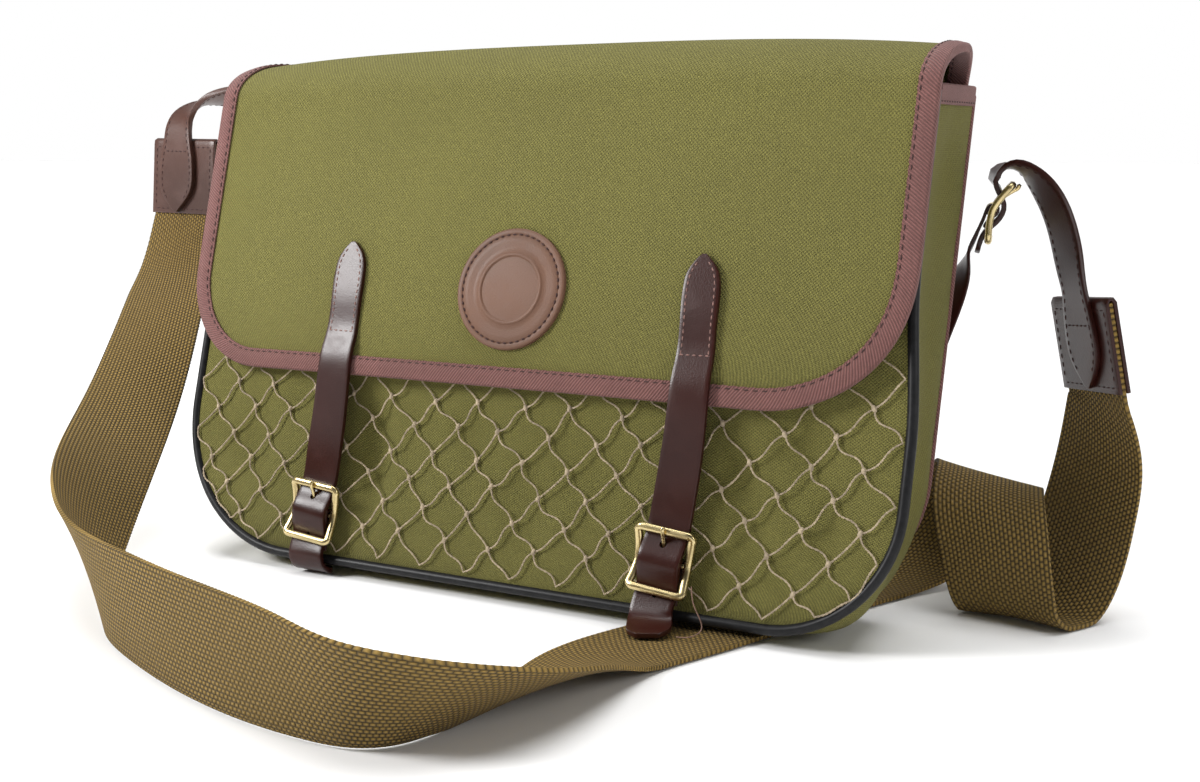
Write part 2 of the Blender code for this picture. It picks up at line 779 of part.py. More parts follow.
def buckle_place(side):
    """A function that puts a place of a buckle's frame, across, down and out, in the world."""
    if side == "side":
        origin = SIDE_BAR - SIDE_OUT * BAR_N
        return lambda a, b, n: origin + SIDE_ACROSS * a + SIDE_DOWN * b + SIDE_OUT * n
    turn_x = math.cos(CLOSURE_TURN)
    turn_v = math.sin(CLOSURE_TURN)

    def place(a, b, n):
        """A place of the turned buckle on the front."""
        x = CLOSURE_X[side] + a * turn_x - b * turn_v
        return front_point(x, BAR_V - b * turn_x - a * turn_v, n)

    return place


def local_matrix(place, b, n):
    """The matrix of a buckle's frame at b down and n out."""
    origin = place(0.0, b, n)
    across = (place(0.001, b, n) - origin).normalized()
    out = (place(0.0, b, n + 0.001) - origin).normalized()
    down = out.cross(across).normalized()
    return Matrix.Translation(origin) @ Matrix((across, down, out)).transposed().to_4x4()


def section(place, b, n, width=STRAP_WIDTH):
    """A strap section square to a buckle's frame."""
    across = place(0.001, b, n) - place(-0.001, b, n)
    return place(0.0, b, n), across.normalized(), width


def make_buckle(side):
    """A brass frame with a narrow waist at its middle bar, and the tongue on that bar."""
    place = buckle_place(side)
    half = FRAME_HALF_LENGTH
    corner = 0.0022
    quarter = []
    for i in range(4):
        b = (half - corner) * i / 3
        spread = (b / half) ** 1.6
        quarter.append((FRAME_WAIST_HALF + (FRAME_END_HALF - FRAME_WAIST_HALF) * spread, b))
    quarter.append((FRAME_END_HALF - 0.0003, half - corner * 0.3))
    quarter.append((FRAME_END_HALF - corner, half))
    right = [(a, -b) for a, b in reversed(quarter[1:])] + quarter
    loop = right + [(-a, b) for a, b in reversed(right)]
    points = []
    for a, b in loop:
        lift = (abs(b) / half) ** 1.6
        points.append(place(a, b, BAR_N + (FRAME_END_N - BAR_N) * lift))
    frame = tube("buckle_frame_" + side, points, FRAME_RADIUS, 6, "brass", closed=True)
    reach = FRAME_WAIST_HALF
    ends = [place(-reach, 0.0, BAR_N), place(0.0, 0.0, BAR_N), place(reach, 0.0, BAR_N)]
    bar = tube("buckle_bar_" + side, ends, BAR_RADIUS, 6, "brass")
    bar.hide_render = True
    bar.display_type = "WIRE"
    join = frame.modifiers.new("bar", "BOOLEAN")
    join.operation = "UNION"
    join.object = bar
    ring = BAR_RADIUS + TONGUE_RADIUS + 0.0002
    path = []
    for degrees in (20, -25, -70, -115, -160):
        turn = math.radians(degrees)
        path.append((ring * math.cos(turn), BAR_N + ring * math.sin(turn)))
    rest_n = FRAME_END_N + FRAME_RADIUS + TONGUE_RADIUS + 0.0003
    path += [
        (-0.0030, BAR_N + 0.0004),
        (-0.0052, BAR_N + 0.0011),
        (-0.0085, 0.0081),
        (-0.0118, 0.0105),
        (-half, rest_n),
        (-half - 0.0020, rest_n - 0.0001),
    ]
    tube("buckle_tongue_" + side, [place(0.0, b, n) for b, n in path], TONGUE_RADIUS, 6, "brass")


def slot_for_tongue(piece, side, place):
    """Cut the hole where the tongue comes through a billet."""
    middle = -0.0083
    size = (2 * TONGUE_RADIUS + 0.0007, 0.0062, 0.0090)
    cut(piece, block("billet_cutter_" + side, local_matrix(place, middle, billet_n(middle)), size))


def fold_sections(place, low_n, reach):
    """Sections of a strap that is folded over a buckle's bar and runs back below itself."""
    radius = BAR_RADIUS + GAP + CHAPE / 2
    path = [(0.0090, low_n + CHAPE + GAP), (0.0042, low_n + CHAPE + 0.0014)]
    for degrees in (65, 100, 140, 180, 220, 260):
        turn = math.radians(degrees)
        path.append((radius * math.cos(turn), BAR_N + radius * math.sin(turn)))
    path += [(0.0045, low_n), (0.0090, low_n), (reach, low_n)]
    return [section(place, b, n, FOLD_WIDTH) for b, n in path]


def slot_for_fold(piece, side, place):
    """Cut the slot in a folded strap where the tongue sits on the bar."""
    size = (2 * TONGUE_RADIUS + 0.0007, 0.0074, 0.0100)
    cut(piece, block("fold_cutter_" + side, local_matrix(place, 0.0, BAR_N), size))


def make_closure(side):
    """A closure strap from the flap to its buckle, and the chape that holds the buckle."""
    place = buckle_place(side)
    flap_n = FLAP_OUT + CANVAS / 2 + 2 * GAP + LEATHER / 2
    tape_n = flap_n + TAPE + TAPE_ROOM
    upper = (
        (0.1625, 0.0058, flap_n, 0.004),
        (0.1570, 0.0060, flap_n, 0.013),
        (0.1495, 0.0063, flap_n, STRAP_WIDTH),
        (0.1320, 0.0068, flap_n, STRAP_WIDTH),
        (0.1160, 0.0070, flap_n, STRAP_WIDTH),
        (0.1065, 0.0069, tape_n, STRAP_WIDTH),
        (0.0930, 0.0067, tape_n + 0.0003, STRAP_WIDTH),
        (0.0830, 0.0063, tape_n - 0.0006, STRAP_WIDTH),
        (0.0680, 0.0052, 0.0086, STRAP_WIDTH),
        (0.0520, 0.0032, 0.0067, STRAP_WIDTH),
    )
    level = Vector((1, 0, 0))
    centre = CLOSURE_X[side]
    sections = [(front_point(centre + shift, v, n), level, width) for v, shift, n, width in upper]
    steps = 10
    for i in range(steps + 1):
        b = FRAME_HALF_LENGTH * (2 * i / steps - 1)
        sections.append(section(place, b, billet_n(b)))
    tail = [(Vector(row[:3]), level, STRAP_WIDTH * row[3]) for row in TAILS[side]]
    billet = strap("closure_strap_" + side, sections + tail, LEATHER, "dark_leather")
    slot_for_tongue(billet, side, place)

    low_n = NET_OUTER + GAP + CHAPE / 2 + 0.0001
    chape = strap("chape_" + side, fold_sections(place, low_n, CHAPE_REACH), CHAPE, "dark_leather")
    slot_for_fold(chape, side, place)


def row_sections(rows, width=None):
    """Strap sections from rows of place, heading, rise and, where it varies, width."""
    return [(Vector(row[:3]), compass(row[3], row[4]), width or row[5]) for row in rows]


def smooth_sections(sections, steps):
    """Strap sections on a smooth curve through the given ones, steps to each span."""
    rows = smooth_rows([(*middle, *across, width) for middle, across, width in sections], steps)
    return [(Vector(row[:3]), Vector(row[3:6]).normalized(), row[6]) for row in rows]


def webbing_sections():
    """Sections of the shoulder strap, raised where need be so that none is below the ground."""
    rows = row_sections(WEBBING_ROWS, WEBBING_WIDTH)
    sections = [rows[0]] + smooth_sections(rows[1:-1], 3) + [rows[-1]]
    for _ in range(4):
        raised = []
        for (middle, across, width), along in zip(sections, directions([s[0] for s in sections])):
            square = (across - along * across.dot(along)).normalized()
            low = middle.z - abs(square.z) * width / 2 - abs(along.cross(square).z) * WEBBING / 2
            raised.append((middle - Vector((0, 0, min(0.0, low))), across, width))
        sections = raised
    return sections


def beside(sections, drop, shift, out):
    """A place beside the end of a strap: a drop from its end, a shift across and out."""
    (end, across, _), (lower, _, _) = sections[:2]
    along = (lower - end).normalized()
    across = (across - along * across.dot(along)).normalized()
    return end + along * drop + across * shift + along.cross(across) * out, across


def make_end_patch(side, webbing):
    """Leather folded over the end of the webbing, front and back."""
    layer = WEBBING / 2 + GAP + PATCH / 2
    fold = GAP + PATCH / 2
    path = [(PATCH_LENGTH, layer), (PATCH_LENGTH / 2, layer), (0.0, layer), (-fold * 0.8, layer * 0.7)]
    path += [(-fold, 0.0)] + [(drop, -out) for drop, out in reversed(path)]
    sections = [(*beside(webbing, drop, 0.0, out), WEBBING_WIDTH + 0.002) for drop, out in path]
    strap("end_patch_" + side, sections, PATCH, "dark_leather")


def tab_sections(side, webbing, thickness):
    """The tab of an end strap where it lies on the patch."""
    out = TAB_FACE[side] * (WEBBING / 2 + PATCH + 3 * GAP + thickness / 2)
    return [(*beside(webbing, drop, shift, out), width) for drop, shift, width in TABS[side]]


def make_end_straps(webbing):
    """The leather that joins the webbing to the bag: sewn down on the left, buckled on the right."""
    sections = tab_sections("left", webbing, END_STRAP) + row_sections(LEFT_END_ROWS)
    for x, v, out, heading, rise in LEFT_END_SEWN:
        sections.append((back_point(x, v, out), compass(heading, rise), STRAP_WIDTH))
    strap("end_strap_left", smooth_sections(sections, 2), END_STRAP, "dark_leather")

    place = buckle_place("side")
    sections = tab_sections("right", webbing[::-1], LEATHER) + row_sections(RIGHT_END_ROWS)
    sections.append(section(place, -0.0190, BILLET_LOW_N + 0.0005))
    sections.append(section(place, -FRAME_HALF_LENGTH, BILLET_LOW_N))
    sections = smooth_sections(sections, 2)[:-1]
    steps = 8
    for i in range(steps + 1):
        b = FRAME_HALF_LENGTH * (2 * i / steps - 1)
        sections.append(section(place, b, billet_n(b)))
    sections += [section(place, b, n, STRAP_WIDTH * share) for b, n, share in SIDE_TAIL]
    billet = strap("end_strap_right", sections, LEATHER, "dark_leather")
    slot_for_tongue(billet, "side", place)

    fold = fold_sections(place, BAR_N - BAR_RADIUS - GAP - CHAPE / 2, 0.0240)
    lower = [fold[-1]] + row_sections(SIDE_BASE_ROWS, STRAP_WIDTH)
    for v in SIDE_BASE_FOOT:
        lower.append((back_point(SIDE_BASE_X, v, SIDE_BASE_OUT), compass(360, 0), STRAP_WIDTH))
    sections = fold[:-1] + smooth_sections(lower, 3)
    base = strap("base_strap_right", sections, CHAPE, "dark_leather")
    slot_for_fold(base, "side", place)


def clear_scene():
    """Remove every object that the file starts with."""
    for piece in list(bpy.data.objects):
        bpy.data.objects.remove(piece, do_unlink=True)


def main():
    """Build every piece of the bag."""
    clear_scene()
    make_panels()
    make_gusset()
    make_piping()
    make_mouth_bindings()
    make_flap()
    make_flap_binding()
    make_net()
    make_badge()
    for side in ("left", "right"):
        make_closure(side)
        make_buckle(side)
    make_buckle("side")
    webbing = webbing_sections()
    strap("shoulder_strap", webbing, WEBBING, "webbing")
    make_end_patch("left", webbing)
    make_end_patch("right", webbing[::-1])
    make_end_straps(webbing)


main()
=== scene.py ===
"""The looks of a canvas hunting game bag: cloth, tape, net, leather, brass and webbing."""

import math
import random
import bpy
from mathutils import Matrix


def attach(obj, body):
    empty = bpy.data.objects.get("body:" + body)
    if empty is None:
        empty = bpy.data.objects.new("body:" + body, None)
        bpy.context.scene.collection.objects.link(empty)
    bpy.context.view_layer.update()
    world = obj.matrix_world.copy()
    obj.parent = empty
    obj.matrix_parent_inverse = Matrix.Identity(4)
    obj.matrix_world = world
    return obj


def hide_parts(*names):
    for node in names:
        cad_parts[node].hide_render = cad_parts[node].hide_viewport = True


bl_info = {
    "name": "Hunting game bag",
    "version": (1, 0, 0),
    "blender": (4, 5, 0),
    "location": "View3D > Sidebar > Bag",
    "description": "Makes the cloth, net, leather, brass and webbing of a game bag and its stage",
    "category": "Add Mesh",
}

import bmesh
import bpy
import numpy
from mathutils import Vector, noise

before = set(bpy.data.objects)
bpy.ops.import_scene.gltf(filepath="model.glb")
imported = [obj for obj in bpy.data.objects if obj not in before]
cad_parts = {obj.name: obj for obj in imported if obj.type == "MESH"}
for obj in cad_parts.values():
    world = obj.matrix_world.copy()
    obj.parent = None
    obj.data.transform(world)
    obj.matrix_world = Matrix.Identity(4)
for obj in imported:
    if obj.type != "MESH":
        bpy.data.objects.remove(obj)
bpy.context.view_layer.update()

# Canvas body, as its solids have it. Each side has its reach and the radius of its lower corner.
FRONT_SIDES = ((0.198, 0.075), (0.204, 0.058))
BACK_SIDES = ((0.196, 0.075), (0.196, 0.058))
FRONT_FOOT_Y = -0.040
BACK_FOOT_Y = 0.024
SEAM_FOOT_Z = 0.0078
FRONT_LEAN = math.radians(15.5)
BACK_LEAN = math.radians(16.3)
MOUTH_HEIGHT = 0.246
BACK_TOP = 0.242
FRONT_BULGE = 0.007
BACK_BULGE = 0.004
BASE_FLAT = (0.28, 0.80)
FLAT_UP_TO = 0.057
LIFTED_FROM = 0.074
LIFT = 0.0026
SEAM_DEPTH = 0.0005
GAP = 0.0003
CLEAR = 0.0001
PIPING_RADIUS = 0.0025
BACK_PIPING_RADIUS = 0.0015
SEAM_STEP = 0.006
BACK_SEAM_STEP = 0.007
PANEL_CLOTH_WIDTH = 0.4
PANEL_ROW_POWER = 1.35

# How far the gusset sags in, where that fades at its ends, and its unevenness
GUSSET_SAG = 0.0045
GUSSET_SAG_FADE = 0.05
GUSSET_RIPPLE = 0.0012

# The unevenness of the hanging canvas, and how near its seams it fades
RIPPLE = 0.0011
RIPPLE_FADE = 0.03

# The right side of the front draws in between two heights
PULL = 0.0065
PULL_FROM = 0.085
PULL_TO = 0.165

# Soft hollows in the front: x, v, depth, half width, half height
HOLLOWS = (
    (-0.062, 0.062, 0.0030, 0.042, 0.042),
    (0.050, 0.058, 0.0024, 0.042, 0.042),
    (0.156, 0.062, 0.0024, 0.042, 0.042),
    (-0.071, 0.050, 0.0048, 0.014, 0.046),
    (0.135, 0.040, 0.0034, 0.016, 0.034),
    (0.020, 0.036, 0.0022, 0.020, 0.034),
    (0.160, 0.082, 0.0036, 0.020, 0.016),
    (0.128, 0.066, 0.0032, 0.014, 0.018),
    (0.172, 0.046, 0.0034, 0.012, 0.020),
    (0.148, 0.022, 0.0026, 0.022, 0.012),
    (-0.010, 0.072, 0.0020, 0.022, 0.018),
    (-0.150, 0.055, 0.0024, 0.020, 0.026),
    (-0.120, 0.084, 0.0018, 0.018, 0.014),
)

# Flap, with s along its cloth from the foot of the front, over the crest and down the back
FLAP_SIDES = ((0.204, 0.050), (0.204, 0.070))
FLAP_WIDER = 0.0035
FLAP_BACK_HALF_WIDTH = 0.1905
FLAP_LOW = 0.0962
FLAP_TURN = 0.244
FLAP_ARCH = 0.090
FLAP_BACK_LEG = 0.020
FLAP_OUT = 0.0065
FLAP_BACK_OUT = 0.0031
FLAP_NARROWS_FROM = 0.35
CREST_END_RISE = 0.0195
CREST_MIDDLE_RISE = 0.0270
TAPE_WIDTH = 0.0087
TAPE_ROOM = 0.0004
TAPE_CROWN = 0.0005
TAPE_STITCHES_IN = 0.0014
TAPE_STITCH_LIFT = 0.0002
TAPE_SCALLOP = 0.0002
TAPE_SCALLOP_PITCH = 0.0046
TAPE_ROW_STEP = 0.0023
TAPE_FOLD_DEPTH = 0.45
FLAP_ROW_POWER = 1.15

# Net, in half meshes, with its side rows inside the piping
NET_MIDDLE_X = 0.003
NET_HALF_COLUMN = 0.01307
NET_HALF_ROW = 0.0138
NET_COLUMNS = 15
NET_ROWS = 9
NET_FOOT = 0.0045
NET_OUT = 0.0014
NET_SIDE_ROOM = 0.0018
NET_CORNER_ROOM = 0.0030
NET_KEPT_ROOM = 0.0040
NET_TAUT = 0.6
NET_LENGTH = 0.019
NET_STEPS = 22
NET_BOW = 0.0007
NET_ARCH = 0.0004
NET_TWISTS = 4.5
FALLING_WAVE = (0.0006, 0.0019)
RISING_WAVE = (-0.0002, 0.0012)
PLY_SIDES = 8
PLY_LOBES = 0.95

# Half the size of a knot across, along and out of the front, and its room in the round corners
KNOT = (0.00115, 0.00170, 0.00095)
KNOT_OUT = 0.0002
KNOT_SHIFT = (0.0019, 0.0016)
KNOT_CORNER_ROOM = 0.0045

BADGE_X = 0.004
BADGE_V = 0.143
BADGE_RADIUS = 0.030
BADGE_THICKNESS = 0.0022
BADGE_STITCHES_RADIUS = 0.0268
BADGE_STEPS = 96

# Closure straps and buckles: a across a buckle, b down from its bar, n out of the bag
CLOSURE_X = {"left": -0.1012, "right": 0.0985}
CLOSURE_TURN = math.radians(5.5)
STRAP_WIDTH = 0.0205
FOLD_WIDTH = 0.0195
LEATHER = 0.0024
CHAPE = 0.0016
CHAPE_REACH = 0.0185
CHAPE_LOW_N = 0.0033
CLOSURE_SEWN = 0.047
CLOSURE_STITCHES_FROM = 0.0035
SPARE_HOLE = {"left": 0.029, "right": 0.027}
SPARE_HOLE_RADIUS = 0.0012
TONGUE_HOLE_B = -0.0078
TONGUE_HOLE_RADIUS = 0.0017
BAR_V = 0.0235
BAR_N = 0.0056
BAR_RADIUS = 0.0013
FRAME_RADIUS = 0.0019
FRAME_CORNER = 0.0026
FRAME_BEND = 1.6
FRAME_HALF_LENGTH = 0.0137
FRAME_END_HALF = 0.0138
FRAME_WAIST_HALF = 0.0124
FRAME_END_N = 0.0093
BILLET_LOW_N = 0.0061
BILLET_HIGH_N = 0.0103
TONGUE_RADIUS = 0.00095
TAILS = {
    "left": (
        (-0.1028, -0.0462, 0.0135, 1.0),
        (-0.1024, -0.0472, 0.0100, 1.0),
        (-0.1018, -0.0464, 0.0062, 1.0),
        (-0.1012, -0.0430, 0.0031, 1.0),
        (-0.1008, -0.0385, 0.0018, 0.86),
        (-0.1006, -0.0350, 0.0016, 0.5),
    ),
    "right": (
        (0.0962, -0.0462, 0.0135, 1.0),
        (0.0965, -0.0490, 0.0092, 1.0),
        (0.0985, -0.0540, 0.0065, 1.0),
        (0.1010, -0.0600, 0.0054, 0.9),
        (0.1030, -0.0645, 0.0050, 0.5),
    ),
}

# Leather of the ends, how far in its stitches run, and the webbing's uneven edge
PATCH = 0.0018
PATCH_LENGTHS = {"left": 0.0460, "right": 0.0420}
END_STRAP = 0.0034
PATCH_STITCHES_IN = 0.003
EDGE_STITCHES_IN = 0.0022
SELVEDGE = 0.00035
SELVEDGE_PITCH = 0.0052
CROSS_STITCHES_IN = 0.0035

# The shoulder strap: x, y, z, then the heading and rise of the line across it
WEBBING_ROWS = (
    (-0.325, 0.112, 0.221, 180, 0),
    (-0.3258, 0.1085, 0.176, 180, 0),
    (-0.3240, 0.1000, 0.1560, 184, -3),
    (-0.296, 0.058, 0.126, 190, 2),
    (-0.253, -0.012, 0.080, 212, 14),
    (-0.200, -0.090, 0.051, 212, 38),
    (-0.158, -0.140, 0.035, 205, 60),
    (-0.122, -0.170, 0.026, 190, 73),
    (-0.088, -0.187, 0.025, 180, 79),
    (-0.050, -0.202, 0.025, 170, 83),
    (-0.005, -0.216, 0.025, 180, 86),
    (0.038, -0.226, 0.025, 262, 80),
    (0.066, -0.227, 0.023, 295, 68),
    (0.088, -0.213, 0.020, 325, 54),
    (0.099, -0.187, 0.015, 338, 40),
    (0.101, -0.156, 0.010, 342, 27),
    (0.097, -0.122, 0.0055, 342, 13),
    (0.097, -0.092, 0.0020, 338, 3),
    (0.109, -0.055, 0.0010, 336, 0),
    (0.124, -0.015, 0.0010, 336, 0),
    (0.140, 0.028, 0.0010, 337, 0),
    (0.156, 0.068, 0.0013, 338, 0),
    (0.174, 0.100, 0.014, 347, -10),
    (0.193, 0.110, 0.037, 358, -16),
    (0.207, 0.099, 0.055, 8, -14),
    (0.215, 0.077, 0.060, 8, -10),
    (0.220, 0.056, 0.053, 3, -2),
    (0.2255, 0.0460, 0.0370, 358, 8),
    (0.2295, 0.0430, 0.0190, 353, 6),
    (0.2340, 0.0470, 0.0052, 349, 2),
    (0.2410, 0.0590, 0.0012, 345, 0),
    (0.2480, 0.0720, 0.0068, 340, -8),
    (0.2540, 0.0830, 0.0220, 337, -10),
    (0.2585, 0.0910, 0.0450, 334, -8),
    (0.262, 0.093, 0.072, 328, -6),
    (0.2605, 0.0902, 0.1015, 311, -5),
    (0.252, 0.088, 0.146, 311, -5),
)

# The tab of each end strap on its patch: how far from the end of the webbing, the shift across
# it and the width. Then the face of the patch that it lies on.
TABS = {
    "left": (
        (0.0450, 0.003, 0.0020),
        (0.0405, 0.003, 0.0110),
        (0.0345, 0.003, 0.0215),
        (0.0280, 0.003, 0.0272),
        (0.0180, 0.003, 0.0278),
        (0.0090, 0.003, 0.0262),
        (0.0020, 0.003, 0.0230),
    ),
    "right": (
        (0.0400, 0.002, 0.0020),
        (0.0355, 0.002, 0.0110),
        (0.0295, 0.002, 0.0205),
        (0.0225, 0.002, 0.0260),
        (0.0130, 0.002, 0.0262),
        (0.0040, 0.002, 0.0240),
        (-0.0060, 0.002, 0.0205),
    ),
}
TAB_FACE = {"left": -1, "right": 1}

# The end straps from their tabs on: x, y, z, heading and rise
LEFT_END_ROWS = (
    (-0.3272, 0.1100, 0.2350, 174, 2),
    (-0.3195, 0.1155, 0.2440, 152, 0),
    (-0.3050, 0.1210, 0.2490, 122, -18),
    (-0.2840, 0.1250, 0.2500, 100, -36),
    (-0.2600, 0.1240, 0.2475, 95, -52),
    (-0.2350, 0.1170, 0.2410, 150, -62),
    (-0.2130, 0.1080, 0.2310, 172, -50),
    (-0.1980, 0.0990, 0.2180, 178, -36),
)

# Where the left one lies down on the back: x, v, out, heading and rise
LEFT_END_SEWN = (
    (-0.1880, 0.2010, 0.0085, 180, -24),
    (-0.1825, 0.1845, 0.0050, 180, -12),
    (-0.1805, 0.1660, 0.0036, 180, -3),
    (-0.1800, 0.1470, 0.0034, 180, 0),
)

RIGHT_END_ROWS = (
    (0.2450, 0.0865, 0.1660, 315, 0),
    (0.2400, 0.0876, 0.1830, 317, 2),
    (0.2320, 0.0887, 0.1975, 314, 4),
    (0.2235, 0.0897, 0.2055, 308, 2),
    (0.2155, 0.0908, 0.2083, 302, 0),
    (0.2098, 0.0904, 0.2066, 298, 0),
    (0.2078, 0.0901, 0.2030, 294, 0),
)

# The side buckle: its bar and the ways across, down and out of its strap. Then the strap's tail,
# down, out and share of the width, and the strap below it, which is sewn to the back.
SIDE_BAR = Vector((0.2080, 0.0900, 0.1880))
SIDE_ACROSS = Vector((0.24, -0.97, 0.0)).normalized()
SIDE_DOWN = Vector((-0.355, -0.088, -0.931)).normalized()
SIDE_OUT = SIDE_ACROSS.cross(SIDE_DOWN).normalized()
SIDE_TAIL = ((0.0175, 0.0063, 1.0), (0.0200, 0.0067, 0.8), (0.0215, 0.0069, 0.4))
SIDE_BASE_ROWS = ((0.1930, 0.0800, 0.1530, 325, 0), (0.1885, 0.0705, 0.1370, 350, 0))
SIDE_BASE_X = 0.184
SIDE_BASE_OUT = 0.0028
SIDE_BASE_FOOT = (0.112, 0.095, 0.078)

CAMERA_PLACE = (0.391, -0.634, 0.215)
CAMERA_YAW = math.radians(28.7)
CAMERA_PITCH = math.radians(9.0)
CAMERA_LENS = 45.24
CAMERA_SENSOR = 36.0

# Studio light. A sun has a name, the way it shines, its strength and its spread, and a lamp has a
# name, its place, its target, its power and its size.
SUNS = (
    ("key_sun", (1.0, 0.85, -1.5), 0.4, 28),
    ("top_sun", (0.0, -0.22, -1.0), 2.6, 50),
)
LAMPS = (
    ("softbox", (-0.76, -0.70, 0.66), (-0.14, 0.0, 0.15), 13.0, 0.42),
    ("right", (1.6, -0.3, 0.9), (0.15, 0.05, 0.12), 5.0, 0.7),
)
FLOOR_SIZE = 60.0
FLOOR_DROP = 0.0002
FLOOR_TONE = 0.95

# Finishes: the pitches and the sway of the weaves, and the angle up to which faces look smooth
CANVAS_WEAVE = 0.0018
CANVAS_SWAY = 0.0007
TAPE_RIB = 0.00165
WEBBING_COLUMN = 0.0019
WEBBING_PITCH = 0.0027
SMOOTH_ANGLE = math.radians(50)


def clamp(share):
    """A share held between 0 and 1."""
    return min(1.0, max(0.0, share))


def ease(share):
    """A share from 0 to 1 that starts and ends slowly."""
    return share * share * (3 - 2 * share)


def row_between(rows, place):
    """The numbers at a place along rows, such as 2.5 for half way from row 2 to row 3."""
    index = min(len(rows) - 2, int(place))
    share = place - index
    return [low + (high - low) * share for low, high in zip(rows[index], rows[index + 1])]


def length_setting(label, words, size):
    """A size in metres that a user can change."""
    return bpy.props.FloatProperty(name=label, description=words, default=size, unit="LENGTH")


def colour_setting(label, words, colour):
    """A colour that a user can change."""
    return bpy.props.FloatVectorProperty(
        name=label, description=words, default=colour, subtype="COLOR", size=3, min=0, max=1
    )


class BagSizes(bpy.types.PropertyGroup):
    """Sizes of the bag's cloth, cord and thread."""

    canvas: length_setting("Canvas", "Thickness of the canvas", 0.0020)
    tape: length_setting("Tape", "Thickness of the binding tape", 0.0008)
    webbing: length_setting("Webbing", "Thickness of the webbing", 0.0020)
    webbing_width: length_setting("Webbing width", "Width of the webbing", 0.050)
    net_cord: length_setting("Net cord", "Radius of one ply of the net's cord", 0.00027)
    thread: length_setting("Thread", "Radius of the sewing thread", 0.00040)


class BagColours(bpy.types.PropertyGroup):
    """Colours of the bag's materials."""

    canvas: colour_setting("Canvas", "Olive canvas", (0.170, 0.156, 0.036))
    tape: colour_setting("Tape", "Binding tape", (0.190, 0.079, 0.070))
    webbing: colour_setting("Webbing", "Shoulder webbing", (0.238, 0.150, 0.034))
    leather: colour_setting("Leather", "Dark straps", (0.028, 0.006, 0.004))
    patch: colour_setting("Patch leather", "Patches and end straps", (0.066, 0.030, 0.022))
    badge: colour_setting("Badge leather", "Round badge", (0.135, 0.066, 0.040))
    brass: colour_setting("Brass", "Buckles", (0.640, 0.520, 0.270))
    cord: colour_setting("Cord", "Net cord", (0.400, 0.320, 0.220))
    piping: colour_setting("Piping", "Piping of the front seam", (0.012, 0.012, 0.013))


def sizes():
    """The sizes in force."""
    return bpy.context.scene.bag_sizes


def colours():
    """The colours in force."""
    return bpy.context.scene.bag_colours


class Signal:
    """A shader socket that takes part in sums as a number does."""

    def __init__(self, shade, socket):
        self.shade = shade
        self.socket = socket

    def math(self, operation, *others):
        """The result of a Math node with this as its first value."""
        values = dict(enumerate((self, *others)))
        return self.shade.node("ShaderNodeMath", {"operation": operation}, values)

    def __add__(self, other):
        return self.math("ADD", other)

    __radd__ = __add__

    def __mul__(self, other):
        return self.math("MULTIPLY", other)

    __rmul__ = __mul__

    def __sub__(self, other):
        return self.math("SUBTRACT", other)

    def __rsub__(self, other):
        return self * -1 + other

    def __pow__(self, other):
        return self.math("POWER", other)

    def wave(self, pitch, turn=0.0):
        """A wave from 0 to 1 with its pitch in this signal's unit."""
        return (self * (2 * math.pi / pitch) + turn).math("SINE") * 0.5 + 0.5

    def between(self, low, high):
        """How far this is from low to high, from 0 to 1 with soft ends."""
        settings = {"interpolation_type": "SMOOTHSTEP"}
        inputs = {"Value": self, "From Min": low, "From Max": high}
        return self.shade.node("ShaderNodeMapRange", settings, inputs)


class Shade:
    """A material with one principled shader."""

    def __init__(self, name, roughness, metallic=0.0):
        self.material = bpy.data.materials.new(name)
        self.material.use_nodes = True
        self.tree = self.material.node_tree
        self.shader = self.tree.nodes["Principled BSDF"]
        self.shader.inputs["Roughness"].default_value = roughness
        self.shader.inputs["Metallic"].default_value = metallic

    def node(self, kind, settings=None, inputs=None, output=0):
        """Add a node, with settings first and then values or links, and return an output."""
        node = self.tree.nodes.new(kind)
        for name, value in (settings or {}).items():
            setattr(node, name, value)
        for name, value in (inputs or {}).items():
            if isinstance(value, Signal):
                self.tree.links.new(value.socket, node.inputs[name])
            else:
                node.inputs[name].default_value = value
        return Signal(self, node.outputs[output])

    def place(self):
        """The place in the object, in metres."""
        return self.node("ShaderNodeTexCoord", output="Object")

    def across_along(self):
        """The distances across and along a piece, in metres, from its UV map."""
        uv = self.node("ShaderNodeTexCoord", output="UV")
        return [self.node("ShaderNodeSeparateXYZ", inputs={0: uv}, output=i) for i in (0, 1)]

    def noise(self, scale, detail=3.0, roughness=0.5):
        """Soft noise from 0 to 1."""
        inputs = {"Vector": self.place(), "Scale": scale, "Detail": detail, "Roughness": roughness}
        return self.node("ShaderNodeTexNoise", {}, inputs)

    def mix(self, share, low, high):
        """A colour between two colours."""
        return self.node("ShaderNodeMix", {"data_type": "RGBA"}, {0: share, 6: low, 7: high}, 2)

    def bump(self, height, distance, strength=1.0):
        """Feed the shader's normal with a height from 0 to 1 and its distance in metres."""
        inputs = {"Strength": strength, "Distance": distance, "Height": height}
        self.feed("Normal", self.node("ShaderNodeBump", {}, inputs))

    def feed(self, name, signal):
        """Link a signal to the shader."""
        self.tree.links.new(signal.socket, self.shader.inputs[name])


def tone(colour, amount):
    """A colour made lighter or darker."""
    return (*[min(1.0, part * amount) for part in colour], 1.0)


